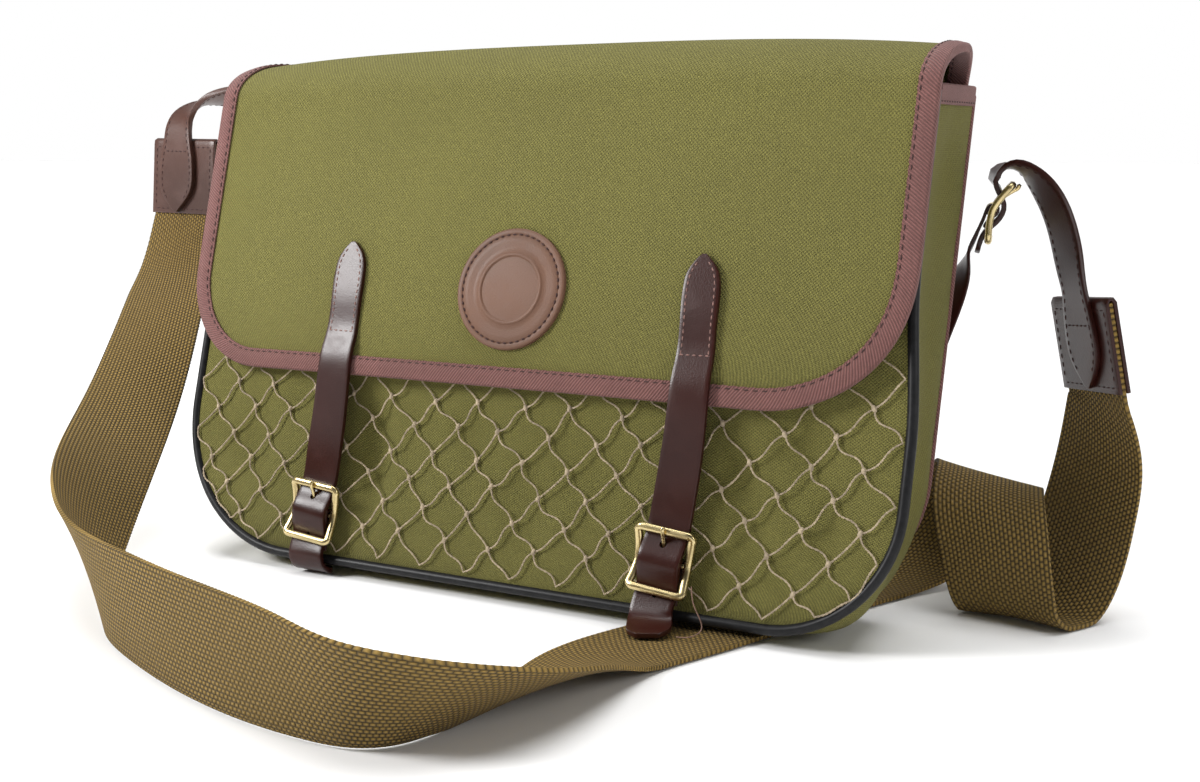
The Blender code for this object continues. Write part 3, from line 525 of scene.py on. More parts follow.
def canvas_material(name, colour):
    """Plain weave whose yarns show in turn, with a painted highlight on the yarn tops and painted shade in
    the gaps between them, a fleck, unevenly dyed cloth and a soft nap.
    """
    shade = Shade(name, 0.95)
    across, along = shade.across_along()
    sway = shade.noise(160, 2.0, 0.5) * CANVAS_SWAY
    across = across + sway
    along = along + sway
    yarn = (across.wave(CANVAS_WEAVE) - 0.5) * (along.wave(CANVAS_WEAVE) - 0.5) * 2.0 + 0.5
    fine = across.wave(CANVAS_WEAVE / 2) * 0.5 + along.wave(CANVAS_WEAVE / 2) * 0.5
    fleck = shade.noise(1300, 2.0, 0.8).between(0.32, 0.68)
    cloud = shade.noise(11, 5.0, 0.6).between(0.25, 0.75)
    dye_and_painted_weave_light = shade.mix(cloud, tone(colour, 0.84), tone(colour, 1.16))
    # Painted highlight: the raised yarns are made lighter.
    dye_and_painted_weave_light = shade.mix(yarn.between(0.1, 0.9), dye_and_painted_weave_light, tone(colour, 1.35))
    # Painted shade: the gaps between the yarns are made darker.
    dye_and_painted_weave_light = shade.mix((1 - yarn).between(0.45, 1.0) * 0.7, dye_and_painted_weave_light, tone(colour, 0.32))
    shade.feed("Base Color", shade.mix(fleck * 0.42, dye_and_painted_weave_light, tone(colour, 0.50)))
    shade.bump(yarn * 0.55 + fine * 0.15 + fleck * 0.30, 0.0008, 1.0)
    return shade.material


def tape_material(name, colour):
    """Twill tape with slanting ribs, painted lighter on their tops and painted darker in the grooves
    between them.
    """
    shade = Shade(name, 0.88)
    across, along = shade.across_along()
    rib = (across * 0.8 + along).wave(TAPE_RIB)
    fleck = shade.noise(900, 2.0, 0.7)
    worn = shade.noise(40, 4.0, 0.6).between(0.35, 0.75)
    # Painted light and shade: the rib tops are lighter and the grooves between the ribs darker.
    base = shade.mix(rib, tone(colour, 0.62), tone(colour, 1.12))
    base = shade.mix(worn * rib * 0.6, base, tone(colour, 1.55))
    shade.feed("Base Color", shade.mix(fleck.between(0.45, 0.75) * 0.5, base, tone(colour, 0.55)))
    shade.bump(rib * 0.8 + fleck * 0.2, 0.0005, 0.8)
    shade.shader.inputs["Sheen Weight"].default_value = 0.10
    return shade.material


def webbing_material(name, colour):
    """Coarse webbing: columns of yarn bumps, each column a half step from the next, with a painted
    highlight on the bumps and painted shade in the gaps.
    """
    shade = Shade(name, 0.9)
    across, along = shade.across_along()
    step = (across * (1 / WEBBING_COLUMN)).math("FLOOR").math("MODULO", 2.0)
    round_across = (across * (math.pi / WEBBING_COLUMN)).math("SINE").math("ABSOLUTE")
    phase = along * (math.pi / WEBBING_PITCH) + step * (math.pi / 2)
    round_along = phase.math("SINE").math("ABSOLUTE")
    yarn = (round_across * round_along) ** 0.8
    fleck = shade.noise(700, 3.0, 0.7)
    cloud = shade.noise(18, 3.0, 0.5).between(0.3, 0.7)
    # Painted highlight on the yarn bumps, and painted shade, nearly black, in the gaps between them.
    base = shade.mix(yarn, tone(colour, 0.07), tone(colour, 1.50))
    base = shade.mix(cloud * 0.45, base, tone(colour, 0.72))
    shade.feed("Base Color", shade.mix(fleck.between(0.5, 0.8) * 0.5, base, tone(colour, 0.5)))
    shade.bump(yarn + fleck * 0.3, 0.0012, 1.0)
    return shade.material


def leather_material(name, colour, roughness=0.34, grain=0.00004, pale=1.7):
    """Smooth leather with a fine grain, worn a little paler in patches, under a wax coat."""
    shade = Shade(name, roughness)
    voronoi = {"Vector": shade.place(), "Scale": 1400.0}
    pores = shade.node("ShaderNodeTexVoronoi", {}, voronoi, "Distance")
    wear = shade.noise(70, 5.0, 0.6).between(0.46, 0.78)
    cloud = shade.noise(16, 2.0, 0.5).between(0.3, 0.7)
    base = shade.mix(cloud, tone(colour, 0.78), tone(colour, 1.18))
    shade.feed("Base Color", shade.mix(wear * 0.35, base, tone(colour, pale)))
    shade.feed("Roughness", wear * 0.12 + (roughness - 0.04))
    shade.bump(pores + shade.noise(300, 3.0, 0.6), grain, 0.8)
    shade.shader.inputs["Specular IOR Level"].default_value = 0.3
    shade.shader.inputs["Coat Weight"].default_value = 0.06
    shade.shader.inputs["Coat Roughness"].default_value = 0.20
    return shade.material


def brass_material(name, colour):
    """Aged brass, duller and browner in places."""
    shade = Shade(name, 0.3, 1.0)
    age = shade.noise(70, 3.0, 0.5).between(0.45, 0.75)
    shade.feed("Base Color", shade.mix(age * 0.5, tone(colour, 1.0), tone(colour, 0.5)))
    shade.feed("Roughness", age * 0.15 + 0.26)
    shade.bump(shade.noise(300, 2.0, 0.5), 0.00002, 0.3)
    return shade.material


def plain_material(name, colour, roughness, fleck_scale=600, bump=0.00015, shine=0.5):
    """Cord, thread or rubber with a little unevenness."""
    shade = Shade(name, roughness)
    shade.shader.inputs["Specular IOR Level"].default_value = shine
    fleck = shade.noise(fleck_scale, 3.0, 0.6)
    base = shade.mix(fleck.between(0.3, 0.7), tone(colour, 0.72), tone(colour, 1.28))
    shade.feed("Base Color", base)
    shade.bump(fleck, bump, 0.6)
    return shade.material


def make_materials():
    """Every material of the bag, by the names that the pieces use."""
    c = colours()
    return {
        "canvas": canvas_material("canvas_olive", c.canvas),
        "tape": tape_material("tape_twill", c.tape),
        "webbing": webbing_material("webbing_coarse", c.webbing),
        "leather": leather_material("leather_dark", c.leather),
        "patch": leather_material("leather_patch", c.patch, 0.36, 0.00006, 1.5),
        "badge": leather_material("leather_badge", c.badge, 0.62, 0.00010, 1.30),
        "brass": brass_material("brass_aged", c.brass),
        "cord": plain_material("cord_beige", c.cord, 0.85, 260, 0.0001),
        "piping": plain_material("piping_black", c.piping, 0.40, 300, 0.00006, 0.2),
        "dark_thread": plain_material("thread_dark", (0.045, 0.016, 0.014), 0.75),
        "pale_thread": plain_material("thread_pale", (0.200, 0.115, 0.085), 0.75),
        "pink_thread": plain_material("thread_pink", (0.230, 0.125, 0.105), 0.75),
    }


MATERIALS = {}


def deselect():
    """Leave nothing selected."""
    bpy.ops.object.select_all(action="DESELECT")


def select_only(piece):
    """Select one piece and make it the active one."""
    deselect()
    piece.select_set(True)
    bpy.context.view_layer.objects.active = piece


def apply_modifiers(piece):
    """Apply a piece's modifiers in their order."""
    select_only(piece)
    for modifier in list(piece.modifiers):
        bpy.ops.object.modifier_apply(modifier=modifier.name)


def shaped_grid(name, columns, rows, place, size):
    """A grid bent to place(u, v), u and v from 0 to 1, with its UV map in metres."""
    deselect()
    bpy.ops.mesh.primitive_grid_add(x_subdivisions=columns, y_subdivisions=rows, size=1.0)
    piece = bpy.context.active_object
    piece.name = name
    piece.data.name = name
    for vertex in piece.data.vertices:
        vertex.co = place(clamp(vertex.co.x + 0.5), clamp(vertex.co.y + 0.5))
    for corner in piece.data.uv_layers.active.data:
        corner.uv = (corner.uv.x * size[0], corner.uv.y * size[1])
    return piece


def clean(piece, merge=0.0):
    """Merge doubles if asked, and point the faces out."""
    builder = bmesh.new()
    builder.from_mesh(piece.data)
    if merge:
        bmesh.ops.remove_doubles(builder, verts=builder.verts, dist=merge)
        bmesh.ops.dissolve_degenerate(builder, edges=builder.edges, dist=merge / 10)
    bmesh.ops.recalc_face_normals(builder, faces=builder.faces)
    builder.to_mesh(piece.data)
    builder.free()


def new_piece(name, points, polygons):
    """A piece in the scene from its points and its faces, which are turned outwards."""
    mesh = bpy.data.meshes.new(name)
    mesh.from_pydata(points, [], polygons)
    piece = bpy.data.objects.new(name, mesh)
    bpy.context.scene.collection.objects.link(piece)
    clean(piece)
    return piece


def ball(segments, rings):
    """The points of a ball of radius 1, and its faces, sorted as their order varies from run to run."""
    deselect()
    bpy.ops.mesh.primitive_uv_sphere_add(segments=segments, ring_count=rings, radius=1.0)
    pattern = bpy.context.active_object
    shape = [vertex.co.copy() for vertex in pattern.data.vertices]
    faces = sorted(tuple(face.vertices) for face in pattern.data.polygons)
    bpy.data.objects.remove(pattern, do_unlink=True)
    return shape, faces


def thicken(piece, thickness, edge=0.0):
    """Give a sheet its thickness, and round its edges."""
    solid = piece.modifiers.new("thickness", "SOLIDIFY")
    solid.thickness = thickness
    solid.offset = 0
    if edge:
        bevel = piece.modifiers.new("edge", "BEVEL")
        bevel.width = edge
        bevel.segments = 2
        bevel.limit_method = "ANGLE"
        bevel.angle_limit = SMOOTH_ANGLE
    apply_modifiers(piece)
    clean(piece)


def finish_piece(piece, material, *nodes):
    """Give a piece its material and its ride, and hide the parts of the model that it stands for."""
    piece.data.materials.clear()
    piece.data.materials.append(MATERIALS[material])
    select_only(piece)
    bpy.ops.object.shade_smooth_by_angle(angle=SMOOTH_ANGLE)
    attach(piece, "root")
    if nodes:
        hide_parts(*nodes)
    return piece


def cloth(name, columns, rows, place, size, thickness, material, *nodes):
    """A sheet bent to place(u, v), and the area that it has before it gets its thickness."""
    piece = shaped_grid(name, columns, rows, place, size)
    area = sum(face.area for face in piece.data.polygons)
    thicken(piece, thickness)
    return finish_piece(piece, material, *nodes), area


def smooth_rows(rows, steps):
    """Rows read off a natural cubic spline through the given rows, steps to each span."""
    knots = numpy.array(rows, dtype=float)
    spans = numpy.linalg.norm(numpy.diff(knots[:, :3], axis=0), axis=1)
    count = len(knots)
    system = numpy.eye(count)
    right = numpy.zeros_like(knots)
    for i in range(1, count - 1):
        system[i, i - 1] = spans[i - 1]
        system[i, i] = 2 * (spans[i - 1] + spans[i])
        system[i, i + 1] = spans[i]
        after = (knots[i + 1] - knots[i]) / spans[i]
        before = (knots[i] - knots[i - 1]) / spans[i - 1]
        right[i] = 6 * (after - before)
    bends = numpy.linalg.solve(system, right)
    smooth = []
    for i in range(count - 1):
        for step in range(steps):
            t = step / steps
            u = 1 - t
            bend = (u**3 - u) * bends[i] + (t**3 - t) * bends[i + 1]
            smooth.append(u * knots[i] + t * knots[i + 1] + bend * spans[i] ** 2 / 6)
    smooth.append(knots[-1])
    return smooth


def smooth_line(points, steps):
    """Points on a smooth curve through the given ones."""
    return [Vector(row) for row in smooth_rows(points, steps)]


def compass(heading, rise):
    """The direction with a heading from +X towards +Y and a rise, both in degrees."""
    turn = math.radians(heading)
    lift = math.radians(rise)
    return Vector((math.cos(lift) * math.cos(turn), math.cos(lift) * math.sin(turn), math.sin(lift)))


def row_sections(rows, width):
    """Strap sections from rows of place, heading and rise."""
    return [(Vector(row[:3]), compass(row[3], row[4]), width) for row in rows]


def smooth_sections(sections, steps):
    """Strap sections on a smooth curve through the given ones."""
    rows = smooth_rows([(*middle, *across, width) for middle, across, width in sections], steps)
    return [(Vector(row[:3]), Vector(row[3:6]).normalized(), row[6]) for row in rows]


def direction(points, index):
    """The direction of travel at a point of a path."""
    return (points[min(index + 1, len(points) - 1)] - points[max(index - 1, 0)]).normalized()


class Path:
    """A strap's middle line with its across, its normal and its width, read by distance."""

    def __init__(self, sections):
        points = [section[0] for section in sections]
        self.rows = []
        self.drops = [0.0]
        for index, (middle, across, width) in enumerate(sections):
            along = direction(points, index)
            across = (across - along * across.dot(along)).normalized()
            self.rows.append((middle, across, along.cross(across), width))
            if index:
                self.drops.append(self.drops[-1] + (middle - points[index - 1]).length)
        self.length = self.drops[-1]

    def at(self, drop):
        """The middle, across, normal and width at a distance along the path."""
        index = max(0, min(len(self.drops) - 2, int(numpy.searchsorted(self.drops, drop)) - 1))
        span = self.drops[index + 1] - self.drops[index]
        share = (drop - self.drops[index]) / span if span else 0.0
        low, high = self.rows[index], self.rows[index + 1]
        middle, across, normal = [low[i].lerp(high[i], share) for i in range(3)]
        return middle, across.normalized(), normal.normalized(), low[3] + (high[3] - low[3]) * share

    def point(self, drop, side, out):
        """A point at a distance along, a distance to the side and out of the face."""
        middle, across, normal, _ = self.at(drop)
        return middle + across * side + normal * out


def above_ground(point, thickness):
    """A point of cloth lifted, with a soft change, so that the cloth lies on the ground."""
    low = thickness / 2 + CLEAR
    soft = 0.0012
    if point.z < low + soft:
        point.z = low + soft * math.exp(min(0.0, (point.z - low - soft) / soft))
    return point


def band(name, path, thickness, material, *nodes, step=0.0022, columns=6, edge=0.0005, waver=None):
    """A strap along a path, with its edges rounded."""
    widest = max(row[3] for row in path.rows)

    def place(u, v):
        """A point of the strap's middle sheet."""
        drop = v * path.length
        side = (u - 0.5) * path.at(drop)[3]
        if waver:
            side += waver(u, drop)
        return above_ground(path.point(drop, side, 0.0), thickness)

    rows = max(4, int(path.length / step))
    piece = shaped_grid(name, columns, rows, place, (widest, path.length))
    thicken(piece, thickness, edge)
    return finish_piece(piece, material, *nodes)


def tube(name, points, radius, material, *nodes, sides=12, flat=1.0):
    """A round bar along points with closed round ends."""
    path = Path([(point, Vector((0.31, 0.52, 0.79)), 0.0) for point in points])
    cap = radius * 0.7

    def place(u, v):
        """A point of the bar's skin: v runs over both ends."""
        drop = v * path.length
        near = min(drop, path.length - drop)
        size = radius * (math.sin(math.pi / 2 * min(1.0, near / cap)) if near < cap else 1.0)
        turn = 2 * math.pi * u
        return path.point(drop, size * math.cos(turn), size * flat * math.sin(turn))

    rows = max(8, len(points) * 2)
    piece = shaped_grid(name, sides, rows, place, (2 * math.pi * radius, path.length))
    clean(piece, 0.00001)
    return finish_piece(piece, material, *nodes)


def stitches(name, runs, material, length=0.0028, gap=0.0016, radius=None):
    """Rows of thread stitches. A run is a list of points with the normals of the cloth there."""
    radius = radius or sizes().thread
    shape, faces = ball(6, 4)
    points = []
    polygons = []
    for run in runs:
        path = Path([(point, normal, 0.0) for point, normal in run])
        drop = gap / 2
        while drop + length < path.length:
            middle, out, _, _ = path.at(drop + length / 2)
            along = (path.at(drop + length)[0] - path.at(drop)[0]).normalized()
            side = along.cross(out)
            first = len(points)
            for co in shape:
                thread = side * co.x * radius + out * co.y * radius + along * co.z * length / 2
                points.append(middle + thread)
            polygons += [tuple(first + i for i in face) for face in faces]
            drop += length + gap
    return finish_piece(new_piece(name, points, polygons), material)


def edge_run(path, start, end, side, out, steps=24):
    """A run for stitches along a strap: side is -1 or 1 for its edge, out is off its middle sheet."""
    run = []
    for i in range(steps + 1):
        middle, across, normal, width = path.at(start + (end - start) * i / steps)
        shift = side * (width / 2 - EDGE_STITCHES_IN)
        run.append((middle + across * shift + normal * out, normal * (1 if out > 0 else -1)))
    return run


def ripple(x, v):
    """The unevenness of hanging canvas, which is nothing at its seams."""
    fade = clamp(v / RIPPLE_FADE) * clamp((FRONT_SIDES[1][0] - abs(x)) / RIPPLE_FADE)
    return RIPPLE * fade * noise.noise(Vector((x * 8.0, v * 10.0, 0.37)))


def swell(x, v, sides, amount):
    """How far a panel swells out of its plane, which is nothing along its seams."""
    (left, _), (right, _) = sides
    share = (2 * x + left - right) / (left + right)
    return amount * max(0.0, 1 - share**2) * math.sin(math.pi * clamp(v / MOUTH_HEIGHT))


def hollow(x, v):
    """How far the front is pressed in at a place."""
    depth = 0.0
    for middle_x, middle_v, deep, wide, high in HOLLOWS:
        apart = math.hypot((x - middle_x) / wide, (v - middle_v) / high)
        if apart < 1:
            depth += deep * (1 - apart**2) ** 2
    return depth


def right_share(x):
    """How much a change at the right side counts at a place: nothing on the left half."""
    return max(0.0, x / FRONT_SIDES[1][0]) ** 3


def front_point(x, v, out):
    """A point of the leaning front, v up its slope and out in front of its canvas."""
    out += swell(x, v, FRONT_SIDES, FRONT_BULGE) + ripple(x, v)
    x -= PULL * ease(clamp((v - PULL_FROM) / (PULL_TO - PULL_FROM))) * right_share(x)
    y = FRONT_FOOT_Y + v * math.sin(FRONT_LEAN) - out * math.cos(FRONT_LEAN)
    z = SEAM_FOOT_Z + v * math.cos(FRONT_LEAN) + out * math.sin(FRONT_LEAN)
    return Vector((x, y, z))


def back_point(x, v, out):
    """A point of the leaning back, v up its slope and out behind its canvas."""
    out += swell(x, v, BACK_SIDES, BACK_BULGE)
    y = BACK_FOOT_Y + v * math.sin(BACK_LEAN) + out * math.cos(BACK_LEAN)
    z = SEAM_FOOT_Z + v * math.cos(BACK_LEAN) - out * math.sin(BACK_LEAN)
    return Vector((x, y, z))


def reach_at(height, side, inset):
    """How far a panel with a round lower corner reaches to one side, at a height up it."""
    half, radius = side
    drop = max(0.0, radius - height)
    return half - radius + math.sqrt(max(0.0, (radius - inset) ** 2 - drop**2))


def seam_outline(sides, grow, step):
    """Points x, v and share of base along a seam, from the left mouth round to the right one."""
    runs = []
    for half, radius in sides:
        run = []
        count = int((MOUTH_HEIGHT - radius) / step)
        for i in range(count):
            run.append((half + grow, MOUTH_HEIGHT + (radius - MOUTH_HEIGHT) * i / count, 0.0))
        count = int(radius * math.pi / 2 / step * 1.5)
        for i in range(count + 1):
            turn = math.pi / 2 * (1 - i / count)
            reach = half - radius + (radius + grow) * math.sin(turn)
            run.append((reach, radius - (radius + grow) * math.cos(turn), math.cos(turn) ** 2))
        runs.append(run)
    left = [(-x, v, share) for x, v, share in runs[0]]
    right = runs[1][::-1]
    length = right[0][0] - left[-1][0]
    count = int(length / step)
    middle = [(left[-1][0] + length * i / count, -grow, 1.0) for i in range(1, count)]
    return left + middle + right


def panel(name, sides, top, inset, place_point, middle_out, *nodes):
    """A wall of canvas with round lower corners."""
    radius = max(sides[0][1], sides[1][1])

    def place(u, v):
        """A point of the wall's middle sheet: rows lie closer at the round corners."""
        height = inset + (top - inset) * v**PANEL_ROW_POWER
        left = reach_at(height, sides[0], inset)
        right = reach_at(height, sides[1], inset)
        return place_point(-left + (left + right) * u, height, middle_out)

    size = (PANEL_CLOTH_WIDTH, radius + top)
    piece, area = cloth(name, 110, 76, place, size, sizes().canvas, "canvas", *nodes)


def base_lift(x):
    """How high the outside of the base is above the ground."""
    return LIFT * clamp((x - FLAT_UP_TO) / (LIFTED_FROM - FLAT_UP_TO))


def make_canvas():
    """Front, back and gusset."""
    half = sizes().canvas / 2
    panel(
        "canvas_front", FRONT_SIDES, MOUTH_HEIGHT, PIPING_RADIUS * 0.6,
        lambda x, v, out: front_point(x, v, out - hollow(x, v)), -half, "front_panel",
    )
    panel("canvas_back", BACK_SIDES, BACK_TOP, BACK_PIPING_RADIUS * 0.6, back_point, -half, "back_panel")
    grow = half / 2 - half
    front = seam_outline(FRONT_SIDES, grow, SEAM_STEP)
    back = seam_outline(BACK_SIDES, grow, SEAM_STEP)
    front_out = -SEAM_DEPTH - PIPING_RADIUS * 0.5
    back_out = -SEAM_DEPTH - BACK_PIPING_RADIUS * 0.5

    def place(u, v):
        """A point of the gusset: u from the front seam to the back one, v along them."""
        x1, v1, share = row_between(front, v * (len(front) - 1))
        x2, v2, _ = row_between(back, v * (len(back) - 1))
        point = front_point(x1, v1, front_out).lerp(back_point(x2, v2, back_out), u)
        rise = min(1.0, u / BASE_FLAT[0], (1 - u) / (1 - BASE_FLAT[1]))
        rise = math.sin(rise * math.pi / 2)
        ground = base_lift(point.x) + half
        point.z += share * rise * (ground - point.z)
        sag = GUSSET_SAG * math.sin(math.pi * u) ** 2 * (1 - share)
        sag *= clamp((MOUTH_HEIGHT - v1) / GUSSET_SAG_FADE) * clamp(v1 / GUSSET_SAG_FADE)
        sag += GUSSET_RIPPLE * noise.noise(Vector((point.x * 9, u * 3, v1 * 18))) * (1 - share)
        point.x -= math.copysign(sag, point.x)
        return point

    size = (0.07, 0.86)
    piece, area = cloth("canvas_gusset", 16, 220, place, size, sizes().canvas, "canvas", "gusset")


def make_piping():
    """The black piping of the front seam and the thin cord of the back seam."""
    seam = seam_outline(FRONT_SIDES, 0.0, SEAM_STEP)
    points = [front_point(x, v, -SEAM_DEPTH) for x, v, _ in seam]
    tube("piping_front", points, PIPING_RADIUS, "piping", "front_piping", sides=14)
    seam = seam_outline(BACK_SIDES, 0.0, BACK_SEAM_STEP)
    points = [back_point(x, v, -SEAM_DEPTH) for x, v, _ in seam]
    tube("piping_back", points, BACK_PIPING_RADIUS, "tape", "back_piping", sides=10)


def flap_frame(x, s):
    """The middle of the flap's cloth at a place, and its outward normal there."""
    front_x = x + FLAP_WIDER * right_share(x)
    if s <= FLAP_TURN:
        along = Vector((0, math.sin(FRONT_LEAN), math.cos(FRONT_LEAN)))
        point = front_point(front_x, s, FLAP_OUT)
    elif s >= FLAP_TURN + FLAP_ARCH:
        along = -Vector((0, math.sin(BACK_LEAN), math.cos(BACK_LEAN)))
        point = back_point(x, 2 * FLAP_TURN + FLAP_ARCH - s, FLAP_BACK_OUT)
    else:
        turn = math.pi * (s - FLAP_TURN) / FLAP_ARCH
        start = front_point(front_x, FLAP_TURN, FLAP_OUT)
        end = back_point(x, FLAP_TURN, FLAP_BACK_OUT)
        middle_share = max(0.0, 1 - abs(x / FLAP_SIDES[0][0]) ** 3)
        rise = CREST_END_RISE + (CREST_MIDDLE_RISE - CREST_END_RISE) * middle_share
        up = Vector((0, math.sin(FRONT_LEAN), math.cos(FRONT_LEAN))) * rise
        reach = (end - start) / 2
        point = (start + end) / 2 - reach * math.cos(turn) + up * math.sin(turn)
        along = (reach * math.sin(turn) + up * math.cos(turn)).normalized()
    return point, Vector((0, -along.z, along.y)).normalized()


def flap_point(x, s, out):
    """A point of the flap, out from the middle of its cloth."""
    point, normal = flap_frame(x, s)
    return point + normal * out


def flap_half_width(s):
    """Half the flap's width, which narrows over the crest to its seam on the back."""
    share = ((s - FLAP_TURN) / FLAP_ARCH - FLAP_NARROWS_FROM) / (1 - FLAP_NARROWS_FROM)
    half = FLAP_SIDES[0][0]
    return half + (FLAP_BACK_HALF_WIDTH - half) * ease(clamp(share))


FLAP_END = FLAP_TURN + FLAP_ARCH + FLAP_BACK_LEG


def make_flap():
    """The flap's canvas."""

    def place(u, v):
        """A point of the flap's middle sheet."""
        s = FLAP_LOW + (FLAP_END - FLAP_LOW) * v**FLAP_ROW_POWER
        left, right = [min(flap_half_width(s), reach_at(s - FLAP_LOW, side, 0.0)) for side in FLAP_SIDES]
        return flap_point((left + right) * u - left, s, 0.0)

    size = (PANEL_CLOTH_WIDTH, FLAP_END - FLAP_LOW)
    piece, area = cloth("canvas_flap", 110, 84, place, size, sizes().canvas, "canvas", "flap")


def flap_edge():
    """The flap's edge from its seam on the left, round the front, to its seam on the right."""
    lines = []
    for half, radius in FLAP_SIDES:
        start = FLAP_LOW + radius
        line = [(flap_half_width(s), s) for s in numpy.linspace(FLAP_END, start, 70, endpoint=False)]
        for turn in numpy.linspace(math.pi / 2, 0, 25):
            reach = half - radius * (1 - math.sin(turn))
            line.append((reach, FLAP_LOW + radius * (1 - math.cos(turn))))
        lines.append(line)
    outline = [(-x, s) for x, s in lines[0]]
    base = numpy.linspace(-lines[0][-1][0], lines[1][-1][0], 71)[1:-1]
    outline += [(x, FLAP_LOW) for x in base] + lines[1][::-1]
    frames = []
    for index, (x, s) in enumerate(outline):
        before = Vector(outline[max(0, index - 1)])
        after = Vector(outline[min(len(outline) - 1, index + 1)])
        along = (after - before).normalized()
        edge, normal = flap_frame(x, s)
        inner = flap_frame(x - along.y * 0.0005, s + along.x * 0.0005)[0]
        inward = (inner - edge).normalized()
        frames.append((edge, inward, (normal - inward * normal.dot(inward)).normalized()))
    return frames


def tape_round(name, frames, *nodes):
    """Tape folded round an edge, and its stitches."""
    drops = [0.0]
    for low, high in zip(frames, frames[1:]):
        drops.append(drops[-1] + (high[0] - low[0]).length)
    half = sizes().canvas / 2 + TAPE_ROOM + sizes().tape / 2
    round_part = math.pi * half
    total = 2 * TAPE_WIDTH + round_part

    def profile(u):
        """The distance inward and out at a share of the way round the fold."""
        s = u * total
        if s < TAPE_WIDTH:
            return TAPE_WIDTH - s, half + TAPE_CROWN * math.sin(math.pi * s / TAPE_WIDTH) ** 2
        if s < TAPE_WIDTH + round_part:
            turn = (s - TAPE_WIDTH) / half
            return -half * TAPE_FOLD_DEPTH * math.sin(turn), half * math.cos(turn)
        return s - TAPE_WIDTH - round_part, -half

    def place(u, v):
        """A point of the tape."""
        drop = v * drops[-1]
        index = max(0, min(len(drops) - 2, int(numpy.searchsorted(drops, drop)) - 1))
        share = (drop - drops[index]) / (drops[index + 1] - drops[index])
        edge, inward, normal = [a.lerp(b, share) for a, b in zip(frames[index], frames[index + 1])]
        inner, out = profile(u)
        if inner > TAPE_WIDTH * 0.8:
            inner += TAPE_SCALLOP * math.sin(drop * 2 * math.pi / TAPE_SCALLOP_PITCH)
        return edge + inward * inner + normal * out

    rows = int(drops[-1] / TAPE_ROW_STEP)
    piece, area = cloth(name, 30, rows, place, (total, drops[-1]), sizes().tape, "tape", *nodes)
    out = half + sizes().tape / 2
    runs = []
    for sign, lift in ((1, TAPE_STITCH_LIFT), (-1, 0.0)):
        shift = TAPE_WIDTH - TAPE_STITCHES_IN
        runs.append([(e + i * shift + n * sign * (out + lift), n * sign) for e, i, n in frames])
    stitches(name + "_stitches", runs, "dark_thread")


def make_tapes():
    """The tape of the flap's edge and of the mouth."""
    tape_round("tape_flap", flap_edge(), "flap_binding")
    quarter = sizes().canvas / 4
    down = Vector((0, -math.sin(FRONT_LEAN), -math.cos(FRONT_LEAN)))
    for index, (side, sign) in enumerate((("left", -1), ("right", 1))):
        start = front_point(sign * (FRONT_SIDES[index][0] - quarter), MOUTH_HEIGHT + GAP, -0.0034)
        end = back_point(sign * (BACK_SIDES[index][0] - quarter), MOUTH_HEIGHT + GAP, -0.0026)
        normal = (end - start).cross(down).normalized()
        frames = [(start.lerp(end, i / 16), down, normal) for i in range(17)]
        tape_round("tape_mouth_" + side, frames, "mouth_binding_" + side)


def inside_corner(x, v, inset):
    """A place of the front moved in, if need be, to stay inside its round lower corners."""
    half, radius = FRONT_SIDES[1 if x > 0 else 0]
    reach = radius - inset
    outward = min(abs(x), half - inset)
    dx = outward - half + radius
    dv = radius - v
    apart = math.hypot(dx, dv)
    if dx > 0 and dv > 0 and apart > reach:
        outward = half - radius + dx * reach / apart
        v = radius - dv * reach / apart
    return math.copysign(outward, x), v


def net_place(i, j):
    """The even place of a knot of the net, in x and v."""
    if abs(i) == NET_COLUMNS:
        x = math.copysign(FRONT_SIDES[1 if i > 0 else 0][0] - NET_SIDE_ROOM, i)
    else:
        x = NET_MIDDLE_X + i * NET_HALF_COLUMN
    return x, NET_FOOT + j * NET_HALF_ROW


def net_strands():
    """The strands of the net, each between two knots, in x and v."""
    strands = {}
    for i in range(-NET_COLUMNS, NET_COLUMNS + 1):
        for j in range(NET_ROWS + 1):
            middle = net_place(i, j)
            moved = math.dist(inside_corner(*middle, NET_KEPT_ROOM), middle)
            if (i + j) % 2 or moved > NET_KEPT_ROOM:
                continue
            ring = [(i - 1, j), (i, j - 1), (i + 1, j), (i, j + 1), (i - 1, j)]
            for a, b in zip(ring, ring[1:]):
                if all(abs(c) <= NET_COLUMNS and 0 <= r <= NET_ROWS for c, r in (a, b)):
                    ends = [inside_corner(*net_place(*place), NET_CORNER_ROOM) for place in (a, b)]
                    strands[tuple(sorted((a, b)))] = ends if a < b else ends[::-1]
    return strands


def strand_line(start, end, wave):
    """The middle line of a strand between two places of the front, each x and v."""
    (x1, v1), (x2, v2) = start, end
    line = []
    for k in range(NET_STEPS + 1):
        t = k / NET_STEPS
        bend = wave * math.sin(2 * math.pi * t) + NET_BOW * math.sin(math.pi * t)
        x = x1 + (x2 - x1) * t + bend * (v2 - v1) / NET_LENGTH
        v = v1 + (v2 - v1) * t - bend * (x2 - x1) / NET_LENGTH
        out = NET_OUT - NET_TAUT * hollow(x, v) + NET_ARCH * math.sin(math.pi * t)
        line.append(front_point(x, v, out))
    return line


